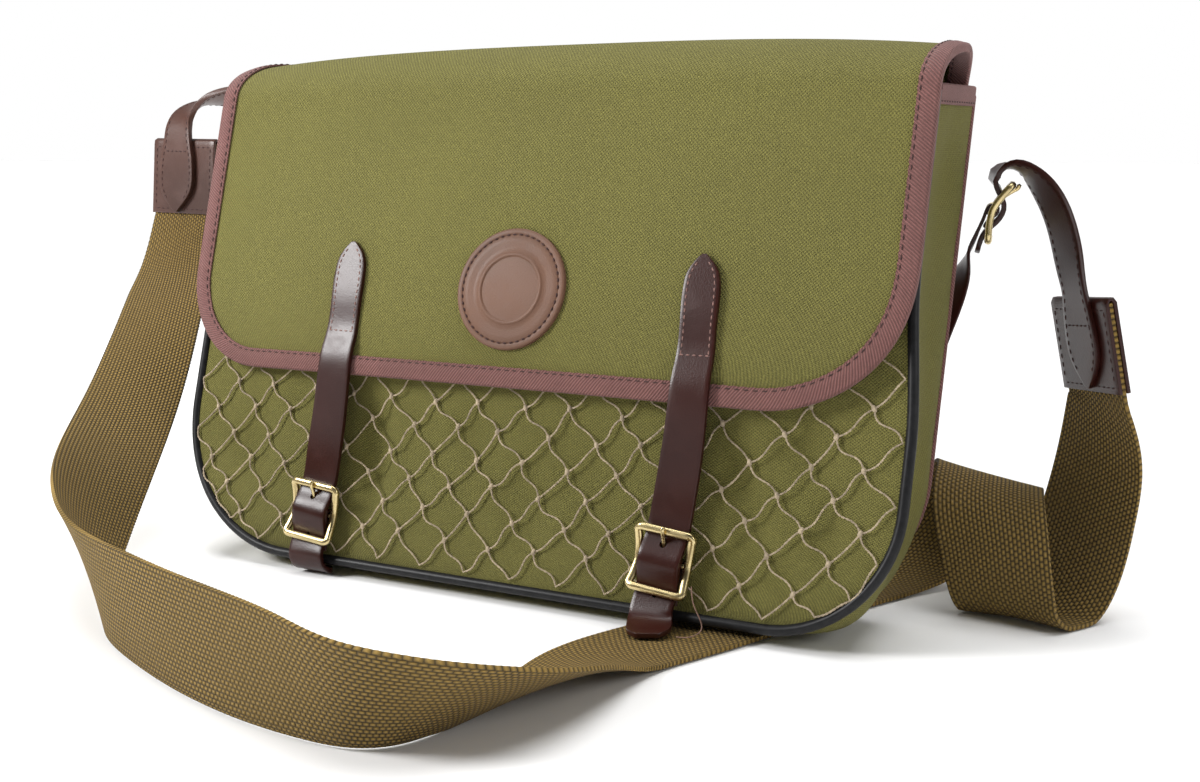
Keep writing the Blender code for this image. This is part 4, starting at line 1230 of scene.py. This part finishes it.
def cord_skin(line, ply, points, polygons):
    """Add the twisted skin of a two-ply cord along a line, closed at both ends."""
    first = len(points)
    front_out = Vector((0, -math.cos(FRONT_LEAN), math.sin(FRONT_LEAN)))
    for k, point in enumerate(line):
        along = direction(line, k)
        side = along.cross(front_out).normalized()
        up = side.cross(along)
        turn = 2 * math.pi * k / NET_STEPS * NET_TWISTS
        for m in range(PLY_SIDES):
            angle = 2 * math.pi * m / PLY_SIDES
            wide = ply * (1.0 + PLY_LOBES * abs(math.cos(angle)))
            a = angle + turn
            points.append(point + (side * math.cos(a) + up * math.sin(a)) * wide)
    for low in range(first, len(points) - PLY_SIDES, PLY_SIDES):
        high = low + PLY_SIDES
        for m in range(PLY_SIDES):
            after = (m + 1) % PLY_SIDES
            polygons.append((low + m, low + after, high + after, high + m))
    polygons.append(tuple(range(first, first + PLY_SIDES)))
    polygons.append(tuple(range(len(points) - PLY_SIDES, len(points))))


def make_knots(shifts, rng):
    """The knots of the net, each a swirled ball that leans its own way."""
    shape, faces = ball(10, 7)
    points = []
    polygons = []
    for (i, j), (dx, dv) in shifts.items():
        even = net_place(i, j)
        moved = math.dist(inside_corner(*even, KNOT_CORNER_ROOM), even) > 0.0001
        if moved or abs(i) == NET_COLUMNS or j in (0, NET_ROWS):
            continue
        x = even[0] + dx
        v = even[1] + dv
        first = len(points)
        lean = rng.uniform(-0.5, 0.5)
        for co in shape:
            swirl = 1 + 0.16 * math.sin(3 * math.atan2(co.x, co.y) + 5 * co.z)
            a = KNOT[0] * co.x * swirl
            b = KNOT[1] * co.y * swirl
            a, b = a * math.cos(lean) - b * math.sin(lean), a * math.sin(lean) + b * math.cos(lean)
            out = NET_OUT + KNOT_OUT + KNOT[2] * co.z - NET_TAUT * hollow(x, v)
            points.append(front_point(x + a, v + b, out))
        polygons += [tuple(first + index for index in face) for face in faces]
    finish_piece(new_piece("net_knots", points, polygons), "cord")


def make_net():
    """Two-ply cord between the knots of the net, and the knots."""
    rng = random.Random(4)
    strands = net_strands()
    shifts = {}
    for key in strands:
        for end in key:
            shifts.setdefault(end, [rng.uniform(-reach, reach) for reach in KNOT_SHIFT])
    points = []
    polygons = []
    for keys, places in strands.items():
        ends = []
        for key, (x, v) in zip(keys, places):
            border = abs(key[0]) == NET_COLUMNS or key[1] in (0, NET_ROWS)
            dx, dv = (0.0, 0.0) if border else shifts[key]
            ends.append((x + dx, v + dv))
        (x1, v1), (x2, v2) = ends
        falling = (x2 - x1) * (v2 - v1) < 0
        wave = rng.uniform(*(FALLING_WAVE if falling else RISING_WAVE))
        cord_skin(strand_line(*ends, wave), sizes().net_cord, points, polygons)
    finish_piece(new_piece("net_cord", points, polygons), "cord", "net")
    make_knots(shifts, rng)


def make_badge():
    """The round badge: a thin edge, a stitched rim and a bare raised ring."""
    low = sizes().canvas / 2 + CLEAR
    face = low + BADGE_THICKNESS
    profile = (
        (0.0, face - 0.0004), (0.0150, face - 0.0004), (0.0158, face - 0.0004), (0.0163, face + 0.0001),
        (0.0169, face + 0.0002), (0.0175, face + 0.0001), (0.0180, face - 0.0003), (0.0262, face - 0.0001),
        (BADGE_STITCHES_RADIUS, face - 0.0004), (0.0274, face - 0.0001), (0.0293, face - 0.0001),
        (0.0299, face - 0.0005),
        (BADGE_RADIUS, face - 0.0011), (BADGE_RADIUS, low), (0.0150, low), (0.0, low),
    )
    last = len(profile) - 1

    def place(u, v):
        """A point of the badge's skin."""
        radius, out = row_between(profile, v * last)
        turn = 2 * math.pi * u
        return flap_point(BADGE_X + radius * math.cos(turn), BADGE_V + radius * math.sin(turn), out)

    piece = shaped_grid("badge_disc", BADGE_STEPS, last * 3, place, (0.19, 0.06))
    clean(piece, 0.00002)
    finish_piece(piece, "badge", "badge")
    run = []
    for i in range(BADGE_STEPS + 1):
        turn = 2 * math.pi * i / BADGE_STEPS
        x = BADGE_X + BADGE_STITCHES_RADIUS * math.cos(turn)
        s = BADGE_V + BADGE_STITCHES_RADIUS * math.sin(turn)
        run.append((flap_point(x, s, face + CLEAR), flap_frame(x, s)[1]))
    stitches("badge_stitches", [run], "dark_thread", length=0.0022, gap=0.0013)


def billet_n(b):
    """How far out the middle of a billet runs, b past the bar of its buckle."""
    share = min(1.0, abs(b) / FRAME_HALF_LENGTH)
    return BILLET_LOW_N + (BILLET_HIGH_N - BILLET_LOW_N) * math.cos(share * math.pi / 2) ** 2


def buckle_place(side):
    """A function that puts a place of a buckle's frame, across, down and out, in the world."""
    if side == "side":
        origin = SIDE_BAR - SIDE_OUT * BAR_N
        return lambda a, b, n: origin + SIDE_ACROSS * a + SIDE_DOWN * b + SIDE_OUT * n
    turn_x = math.cos(CLOSURE_TURN)
    turn_v = math.sin(CLOSURE_TURN)

    def place(a, b, n):
        """A place of the turned buckle on the front."""
        x = CLOSURE_X[side] + a * turn_x - b * turn_v
        return front_point(x, BAR_V - b * turn_x - a * turn_v, n)

    return place


def section(place, b, n, width=STRAP_WIDTH):
    """A strap section square to a buckle's frame."""
    across = place(0.001, b, n) - place(-0.001, b, n)
    return place(0.0, b, n), across.normalized(), width


def frame_outline():
    """The closed line of a buckle's rails: across, down and out."""
    half = FRAME_HALF_LENGTH
    corner = FRAME_CORNER
    quarter = []
    for i in range(9):
        b = (half - corner) * i / 8
        spread = (b / half) ** FRAME_BEND
        quarter.append((FRAME_WAIST_HALF + (FRAME_END_HALF - FRAME_WAIST_HALF) * spread, b))
    reach = quarter[-1][0] + 0.0004
    for i in range(1, 6):
        turn = math.pi / 2 * i / 5
        a = reach - corner + corner * math.cos(turn)
        quarter.append((a, half - corner + corner * math.sin(turn)))
    quarter += [((reach - corner) * (1 - i / 6), half) for i in range(1, 7)]
    right = [(a, -b) for a, b in reversed(quarter[1:])] + quarter
    loop = right[:-1] + [(-a, b) for a, b in reversed(right[1:])]
    return [(a, b, BAR_N + (FRAME_END_N - BAR_N) * (abs(b) / half) ** FRAME_BEND) for a, b in loop]


def make_buckle(side):
    """A brass frame, turned from a ring, its middle bar and its tongue."""
    place = buckle_place(side)
    loop = frame_outline()
    count = len(loop)
    thin = 0.25
    squareness = 0.82
    deselect()
    bpy.ops.mesh.primitive_torus_add(
        major_segments=count, minor_segments=14, major_radius=1.0, minor_radius=thin
    )
    piece = bpy.context.active_object
    piece.name = "brass_frame_" + side
    for vertex in piece.data.vertices:
        turn = math.atan2(vertex.co.y, vertex.co.x) % (2 * math.pi)
        index = round(turn / (2 * math.pi) * count) % count
        a, b, n = loop[index]
        before = Vector(loop[index - 1][:2])
        after = Vector(loop[(index + 1) % count][:2])
        along = (after - before).normalized()
        outward = Vector((-along.y, along.x))
        if outward.dot(Vector((a, b))) < 0:
            outward = -outward
        wide = (math.hypot(vertex.co.x, vertex.co.y) - 1.0) / thin
        high = vertex.co.z / thin
        wide = math.copysign(abs(wide) ** squareness, wide) * FRAME_RADIUS
        high = math.copysign(abs(high) ** squareness, high) * FRAME_RADIUS * 0.9
        vertex.co = place(a + outward.x * wide, b + outward.y * wide, n + high)
    clean(piece)
    finish_piece(piece, "brass", "buckle_frame_" + side)
    points = [place(FRAME_WAIST_HALF * (i / 4 - 1), 0.0, BAR_N) for i in range(9)]
    tube("brass_bar_" + side, points, BAR_RADIUS, "brass", sides=10)
    ring = BAR_RADIUS + TONGUE_RADIUS + 2 * CLEAR
    path = []
    for degrees in (20, -25, -70, -115, -160):
        turn = math.radians(degrees)
        path.append((ring * math.cos(turn), BAR_N + ring * math.sin(turn)))
    rest_n = FRAME_END_N + FRAME_RADIUS + TONGUE_RADIUS + CLEAR
    path += [
        (-0.0030, BAR_N + 0.0004),
        (-0.0052, BAR_N + 0.0011),
        (-0.0085, 0.0085),
        (-0.0118, 0.0109),
        (-FRAME_HALF_LENGTH, rest_n),
        (-FRAME_HALF_LENGTH - 0.0020, rest_n - 0.0003),
    ]
    points = smooth_line([place(0.0, b, n) for b, n in path], 4)
    tube("brass_tongue_" + side, points, TONGUE_RADIUS * 1.1, "brass", "buckle_tongue_" + side)


def punch(piece, holes):
    """Punch round holes through leather: the middle, the direction and the radius of each."""
    for middle, out, radius in holes:
        deselect()
        turn = out.to_track_quat("Z", "Y").to_euler()
        bpy.ops.mesh.primitive_cylinder_add(
            vertices=14, radius=radius, depth=0.008, location=middle, rotation=turn
        )
        cutter = bpy.context.active_object
        cut = piece.modifiers.new("hole", "BOOLEAN")
        cut.object = cutter
        cut.solver = "EXACT"
        apply_modifiers(piece)
        bpy.data.objects.remove(cutter, do_unlink=True)


def fold_sections(place, low_n, reach):
    """Sections of a strap that is folded over a buckle's bar and runs back below itself."""
    radius = BAR_RADIUS + GAP + CHAPE / 2
    path = [(0.0090, low_n + CHAPE + GAP), (0.0042, low_n + CHAPE + 0.0014)]
    for degrees in (65, 100, 140, 180, 220, 260):
        turn = math.radians(degrees)
        path.append((radius * math.cos(turn), BAR_N + radius * math.sin(turn)))
    path += [(0.0045, low_n), (0.0090, low_n), (reach, low_n)]
    return [section(place, b, n, FOLD_WIDTH) for b, n in path]


def make_closure(side):
    """A closure strap from the flap to its buckle, its stitches, and the chape below it."""
    place = buckle_place(side)
    flap_n = FLAP_OUT + sizes().canvas / 2 + GAP + LEATHER / 2
    tape_n = flap_n + sizes().tape + TAPE_ROOM + GAP
    upper = (
        (0.1638, 0.0058, flap_n, 0.0020),
        (0.1603, 0.0059, flap_n, 0.0090),
        (0.1560, 0.0061, flap_n, 0.0148),
        (0.1500, 0.0063, flap_n, 0.0176),
        (0.1320, 0.0068, flap_n, 0.0178),
        (0.1160, 0.0070, flap_n, 0.0182),
        (0.1075, 0.0069, tape_n, 0.0187),
        (0.0960, 0.0067, tape_n + 0.0003, 0.0192),
        (0.0850, 0.0063, tape_n - 0.0006, 0.0196),
        (0.0690, 0.0052, 0.0086, 0.0202),
        (0.0520, 0.0032, 0.0069, STRAP_WIDTH),
    )
    level = Vector((1, 0, 0))
    centre = CLOSURE_X[side]
    sections = [(front_point(centre + shift, v, n), level, width) for v, shift, n, width in upper]
    for i in range(7):
        b = FRAME_HALF_LENGTH * (i / 3 - 1)
        sections.append(section(place, b, billet_n(b)))
    sections += [(Vector(row[:3]), level, STRAP_WIDTH * row[3]) for row in TAILS[side]]
    path = Path(smooth_sections(sections, 6))
    piece = band(
        "leather_closure_" + side, path, LEATHER, "leather", "closure_strap_" + side,
        step=0.0013, columns=10,
    )
    out = (place(0, 0, 0.01) - place(0, 0, 0)).normalized()
    holes = [(place(0.0, TONGUE_HOLE_B, billet_n(TONGUE_HOLE_B)), out, TONGUE_HOLE_RADIUS)]
    middle, _, normal, _ = path.at(path.length - SPARE_HOLE[side])
    holes.append((middle, normal, SPARE_HOLE_RADIUS))
    punch(piece, holes)
    bpy.ops.object.shade_smooth_by_angle(angle=SMOOTH_ANGLE)
    face = -LEATHER / 2 if path.at(0.03)[2].y > 0 else LEATHER / 2
    runs = [edge_run(path, CLOSURE_STITCHES_FROM, CLOSURE_SEWN, sign, face, 30) for sign in (-1, 1)]
    low = path.at(CLOSURE_SEWN)
    runs.append([
        (low[0] + low[1] * shift + low[2] * face, low[2] * math.copysign(1, face))
        for shift in (-0.008, 0.0, 0.008)
    ])
    stitches("closure_stitches_" + side, runs, "pink_thread", length=0.0021, gap=0.0011)
    chape = Path(smooth_sections(fold_sections(place, CHAPE_LOW_N, CHAPE_REACH), 3))
    band("leather_chape_" + side, chape, CHAPE, "leather", "chape_" + side, step=0.0010)


def make_webbing():
    """The shoulder strap with its uneven selvedges."""
    path = webbing_path()

    def selvedge(u, drop):
        """The yarns that loop round each edge."""
        if 0.02 < u < 0.98:
            return 0.0
        return math.copysign(SELVEDGE * math.sin(drop * 2 * math.pi / SELVEDGE_PITCH), u - 0.5)

    piece = band(
        "webbing_strap", path, sizes().webbing, "webbing", "shoulder_strap",
        step=0.0013, columns=14, edge=0.0006, waver=selvedge,
    )


def webbing_path():
    """The path of the shoulder strap."""
    width = sizes().webbing_width
    rows = row_sections(WEBBING_ROWS, width)
    first = [(rows[0][0].lerp(rows[1][0], i / 8), rows[0][1], width) for i in range(8)]
    last = [(rows[-2][0].lerp(rows[-1][0], i / 8), rows[-1][1], width) for i in range(1, 9)]
    return Path(first + smooth_sections(rows[1:-1], 10) + last)


def end_frame(side):
    """The end of the webbing on a side: its place, the way down it, across it and out of it."""
    path = webbing_path()
    rows = path.rows if side == "left" else path.rows[::-1]
    end, across = rows[0][:2]
    down = (rows[7][0] - end).normalized()
    across = (across - down * across.dot(down)).normalized()
    return end, down, across, down.cross(across)


def make_patch(side):
    """Leather folded over the end of the webbing, and its stitches."""
    end, down, across, out = end_frame(side)
    length = PATCH_LENGTHS[side]
    layer = sizes().webbing / 2 + CLEAR + PATCH / 2
    drops = [length * (1 - i / 8) for i in range(9)]
    rows = [(drop, layer) for drop in drops]
    rows += [(-layer * math.sin(math.pi * i / 8), layer * math.cos(math.pi * i / 8)) for i in range(1, 8)]
    rows += [(drop, -layer) for drop in reversed(drops)]
    width = sizes().webbing_width + 0.002
    path = Path([(end + down * drop + out * shift, across, width) for drop, shift in rows])
    # The right patch takes the dark strap leather: partly a darker leather, partly painted shade for this
    # end, which lies in shadow.
    material = "patch" if side == "left" else "leather"
    band("leather_patch_" + side, path, PATCH, material, "end_patch_" + side, columns=12, edge=0.0004)
    near = PATCH_STITCHES_IN
    far = length - PATCH_STITCHES_IN
    half = width / 2 - PATCH_STITCHES_IN
    lines = [(near, far, shift * half, shift * half) for shift in (-1, 1)]
    lines += [(drop, drop, -half, half) for drop in (near, far)]
    runs = []
    for sign in (1, -1):
        face = end + out * sign * (layer + PATCH / 2)
        for drop, last_drop, shift, last_shift in lines:
            run = []
            for i in range(9):
                step_down = down * (drop + (last_drop - drop) * i / 8)
                step_across = across * (shift + (last_shift - shift) * i / 8)
                run.append((face + step_down + step_across, out * sign))
            runs.append(run)
    stitches("patch_stitches_" + side, runs, "dark_thread", length=0.0026, gap=0.0016)


def tab_sections(side, thickness):
    """The tab of an end strap where it lies on the patch."""
    end, down, across, out = end_frame(side)
    lift = TAB_FACE[side] * (sizes().webbing / 2 + PATCH + GAP + thickness / 2)
    return [(end + down * d + across * s + out * lift, across, w) for d, s, w in TABS[side]]


def strap_stitches(name, path, start, end, thickness, material):
    """Stitches along both edges of both faces of a strap."""
    runs = []
    steps = int((end - start) / 0.004)
    for face in (thickness / 2, -thickness / 2):
        for sign in (-1, 1):
            runs.append(edge_run(path, start, end, sign, face, steps))
    stitches(name, runs, material, length=0.0026, gap=0.0015)


def make_ends():
    """The leather between the webbing and the bag: sewn on the left, buckled on the right."""
    sections = tab_sections("left", END_STRAP) + row_sections(LEFT_END_ROWS, STRAP_WIDTH)
    for x, v, out, heading, rise in LEFT_END_SEWN:
        sections.append((back_point(x, v, out), compass(heading, rise), STRAP_WIDTH))
    path = Path(smooth_sections(sections, 5))
    band("leather_end_left", path, END_STRAP, "patch", "end_strap_left", columns=8, edge=0.0007)
    strap_stitches("end_stitches_left", path, 0.008, path.length - 0.004, END_STRAP, "dark_thread")
    cross_stitch("tab_stitches_left", path, 0.039, END_STRAP)

    place = buckle_place("side")
    sections = tab_sections("right", LEATHER) + row_sections(RIGHT_END_ROWS, STRAP_WIDTH)
    sections.append(section(place, -0.0115, 0.0022))
    sections.append(section(place, -0.0075, 0.0062))
    for b in (-0.0035, 0.0, 0.0045, 0.0090, FRAME_HALF_LENGTH):
        sections.append(section(place, b, billet_n(b)))
    sections += [section(place, b, n, STRAP_WIDTH * share) for b, n, share in SIDE_TAIL]
    path = Path(smooth_sections(sections, 5))
    # Dark strap leather on the right end: partly a darker leather, partly painted shade for this end,
    # which lies in shadow.
    band("leather_end_right", path, LEATHER, "leather", "end_strap_right", columns=8, edge=0.0006)
    strap_stitches("end_stitches_right", path, 0.008, path.length - 0.052, LEATHER, "dark_thread")
    cross_stitch("tab_stitches_right", path, 0.030, LEATHER)

    fold = fold_sections(place, BAR_N - BAR_RADIUS - GAP - CHAPE / 2, 0.0240)
    lower = row_sections(SIDE_BASE_ROWS, STRAP_WIDTH)
    for v in SIDE_BASE_FOOT:
        lower.append((back_point(SIDE_BASE_X, v, SIDE_BASE_OUT), compass(360, 0), STRAP_WIDTH))
    path = Path(smooth_sections(fold + lower, 4))
    # Dark strap leather here too: partly a darker leather, partly painted shade for the shaded right end.
    band("leather_base_right", path, CHAPE, "leather", "base_strap_right", columns=8, step=0.0012)


def cross_stitch(name, path, drop, thickness):
    """A short heavy row across a tab."""
    middle, across, normal, width = path.at(drop)
    runs = []
    for sign in (1, -1):
        face = normal * sign * thickness / 2
        half = width / 2 - CROSS_STITCHES_IN
        runs.append([(middle + across * half * (i / 3 - 1) + face, normal * sign) for i in range(7)])
    stitches(name, runs, "dark_thread", length=0.0026, gap=0.0010, radius=0.0005)


def make_loose_thread():
    """The loose thread that hangs beside the right buckle."""
    knots = (
        (0.1160, -0.0475, 0.0250), (0.1190, -0.0500, 0.0160), (0.1230, -0.0520, 0.0070),
        (0.1190, -0.0560, 0.0044), (0.1130, -0.0570, 0.0040),
    )
    tube("loose_thread", smooth_line(knots, 8), 0.00028, "pale_thread", sides=6)


def soft_range(tree, socket, source, target):
    """A soft change of a world's signal from one range to another."""
    node = tree.nodes.new("ShaderNodeMapRange")
    node.interpolation_type = "SMOOTHSTEP"
    for name, value in zip(("From Min", "From Max", "To Min", "To Max"), (*source, *target)):
        node.inputs[name].default_value = value
    tree.links.new(socket, node.inputs["Value"])
    return node.outputs["Result"]


def make_floor():
    """A wide pale floor just below the bag."""
    deselect()
    bpy.ops.mesh.primitive_plane_add(size=FLOOR_SIZE, location=(0, 0, -FLOOR_DROP))
    floor = bpy.context.active_object
    floor.name = "floor"
    shade = Shade("floor_pale", 0.9)
    shade.shader.inputs["Base Color"].default_value = (FLOOR_TONE, FLOOR_TONE, FLOOR_TONE, 1.0)
    floor.data.materials.append(shade.material)


def make_world():
    """A backdrop, white up to just above the horizon, and above that dim, less so behind the bag."""
    world = bpy.data.worlds.new("studio")
    world.use_nodes = True
    tree = world.node_tree
    split = tree.nodes.new("ShaderNodeSeparateXYZ")
    tree.links.new(tree.nodes.new("ShaderNodeTexCoord").outputs["Generated"], split.inputs[0])
    brighter = tree.nodes.new("ShaderNodeMath")
    brighter.operation = "MAXIMUM"
    tree.links.new(soft_range(tree, split.outputs["Z"], (0.10, 0.18), (1.0, 0.0)), brighter.inputs[0])
    tree.links.new(soft_range(tree, split.outputs["Y"], (-0.3, 0.4), (0.06, 0.40)), brighter.inputs[1])
    background = tree.nodes["Background"]
    tree.links.new(brighter.outputs[0], background.inputs["Strength"])
    background.inputs["Color"].default_value = (1.0, 1.0, 1.0, 1.0)
    bpy.context.scene.world = world


def add_light(kind, name, place, aim, power):
    """Add a light that shines one way, and return its settings."""
    deselect()
    bpy.ops.object.light_add(type=kind, location=place)
    light = bpy.context.active_object
    light.name = name
    light.data.energy = power
    light.rotation_euler = aim.to_track_quat("-Z", "Y").to_euler()
    return light.data


def make_lights():
    """Two wide suns and two round lamps."""
    for name, aim, power, spread in SUNS:
        add_light("SUN", name, (0, 0, 2), Vector(aim), power).angle = math.radians(spread)
    for name, place, target, power, size in LAMPS:
        lamp = add_light("AREA", name, place, Vector(target) - Vector(place), power)
        lamp.shape = "DISK"
        lamp.size = size


def make_camera():
    """The photograph's camera."""
    level = math.cos(CAMERA_PITCH)
    ahead = Vector((-math.sin(CAMERA_YAW) * level, math.cos(CAMERA_YAW) * level, -math.sin(CAMERA_PITCH)))
    bpy.ops.object.camera_add(location=CAMERA_PLACE, rotation=ahead.to_track_quat("-Z", "Y").to_euler())
    camera = bpy.context.active_object
    camera.data.lens = CAMERA_LENS
    camera.data.sensor_width = CAMERA_SENSOR
    camera.data.clip_start = 0.01
    bpy.context.scene.camera = camera


class BAG_OT_materials(bpy.types.Operator):
    """Make the bag's materials"""

    bl_idname = "bag.materials"
    bl_label = "Materials"

    def execute(self, context):
        """Make every material and keep it by its name."""
        MATERIALS.update(make_materials())
        return {"FINISHED"}


class BAG_OT_stage(bpy.types.Operator):
    """Make the floor, the light and the camera"""

    bl_idname = "bag.stage"
    bl_label = "Stage"

    def execute(self, context):
        """Make the floor, the backdrop, the lights and the camera, with colours shown as they are."""
        make_floor()
        make_world()
        make_lights()
        make_camera()
        context.scene.view_settings.view_transform = "Standard"
        return {"FINISHED"}


class BAG_OT_canvas(bpy.types.Operator):
    """Make the canvas walls and the gusset"""

    bl_idname = "bag.canvas"
    bl_label = "Canvas"

    def execute(self, context):
        """Make the front, the back and the gusset."""
        make_canvas()
        return {"FINISHED"}


class BAG_OT_piping(bpy.types.Operator):
    """Make the piping of both seams"""

    bl_idname = "bag.piping"
    bl_label = "Piping"

    def execute(self, context):
        """Make the cords of the front seam and the back seam."""
        make_piping()
        return {"FINISHED"}


class BAG_OT_flap(bpy.types.Operator):
    """Make the flap's canvas"""

    bl_idname = "bag.flap"
    bl_label = "Flap"

    def execute(self, context):
        """Make the flap from its lower edge to its seam on the back."""
        make_flap()
        return {"FINISHED"}


class BAG_OT_tapes(bpy.types.Operator):
    """Make the binding tapes and their stitches"""

    bl_idname = "bag.tapes"
    bl_label = "Tapes"

    def execute(self, context):
        """Fold the tape round the flap's edge and both ends of the mouth."""
        make_tapes()
        return {"FINISHED"}


class BAG_OT_net(bpy.types.Operator):
    """Make the knotted net"""

    bl_idname = "bag.net"
    bl_label = "Net"

    def execute(self, context):
        """Make the cords of the net, then its knots."""
        make_net()
        return {"FINISHED"}


class BAG_OT_badge(bpy.types.Operator):
    """Make the stitched badge"""

    bl_idname = "bag.badge"
    bl_label = "Badge"

    def execute(self, context):
        """Make the badge on the flap, then its stitches."""
        make_badge()
        return {"FINISHED"}


class BAG_OT_closures(bpy.types.Operator):
    """Make the closure straps and the buckles"""

    bl_idname = "bag.closures"
    bl_label = "Closures"

    def execute(self, context):
        """Make both closure straps, then all three buckles."""
        for side in ("left", "right"):
            make_closure(side)
        for side in ("left", "right", "side"):
            make_buckle(side)
        return {"FINISHED"}


class BAG_OT_webbing(bpy.types.Operator):
    """Make the shoulder strap"""

    bl_idname = "bag.webbing"
    bl_label = "Webbing"

    def execute(self, context):
        """Make the strap from its left end to its right end."""
        make_webbing()
        return {"FINISHED"}


class BAG_OT_patches(bpy.types.Operator):
    """Make the leather patches on the webbing"""

    bl_idname = "bag.patches"
    bl_label = "Patches"

    def execute(self, context):
        """Make the leather over both ends of the webbing."""
        for side in ("left", "right"):
            make_patch(side)
        return {"FINISHED"}


class BAG_OT_ends(bpy.types.Operator):
    """Make the leather at the strap's ends"""

    bl_idname = "bag.ends"
    bl_label = "End straps"

    def execute(self, context):
        """Make the straps at the left end and at the right end."""
        make_ends()
        return {"FINISHED"}


class BAG_OT_thread(bpy.types.Operator):
    """Make the loose thread"""

    bl_idname = "bag.thread"
    bl_label = "Loose thread"

    def execute(self, context):
        """Make the thread beside the right buckle."""
        make_loose_thread()
        return {"FINISHED"}


OPERATORS = (
    BAG_OT_materials,
    BAG_OT_stage,
    BAG_OT_canvas,
    BAG_OT_piping,
    BAG_OT_flap,
    BAG_OT_tapes,
    BAG_OT_net,
    BAG_OT_badge,
    BAG_OT_closures,
    BAG_OT_webbing,
    BAG_OT_patches,
    BAG_OT_ends,
    BAG_OT_thread,
)


class BAG_PT_panel(bpy.types.Panel):
    """The bag's panel in the sidebar."""

    bl_idname = "BAG_PT_panel"
    bl_label = "Game bag"
    bl_space_type = "VIEW_3D"
    bl_region_type = "UI"
    bl_category = "Bag"

    def draw(self, context):
        """List the settings and the operators."""
        for group in (context.scene.bag_sizes, context.scene.bag_colours):
            for name in group.bl_rna.properties.keys():
                if name not in ("rna_type", "name"):
                    self.layout.prop(group, name)
        for item in OPERATORS:
            self.layout.operator(item.bl_idname)


CLASSES = (BagSizes, BagColours, *OPERATORS, BAG_PT_panel)


def register():
    """Register the classes and the settings."""
    for item in CLASSES:
        bpy.utils.register_class(item)
    bpy.types.Scene.bag_sizes = bpy.props.PointerProperty(type=BagSizes)
    bpy.types.Scene.bag_colours = bpy.props.PointerProperty(type=BagColours)


def unregister():
    """Take the settings and the classes away."""
    del bpy.types.Scene.bag_colours
    del bpy.types.Scene.bag_sizes
    for item in reversed(CLASSES):
        bpy.utils.unregister_class(item)


def main():
    """Register the settings, then make the whole bag and its stage."""
    register()
    for item in OPERATORS:
        getattr(bpy.ops.bag, item.bl_idname.split(".")[1])()


if __name__ == "__main__":
    main()
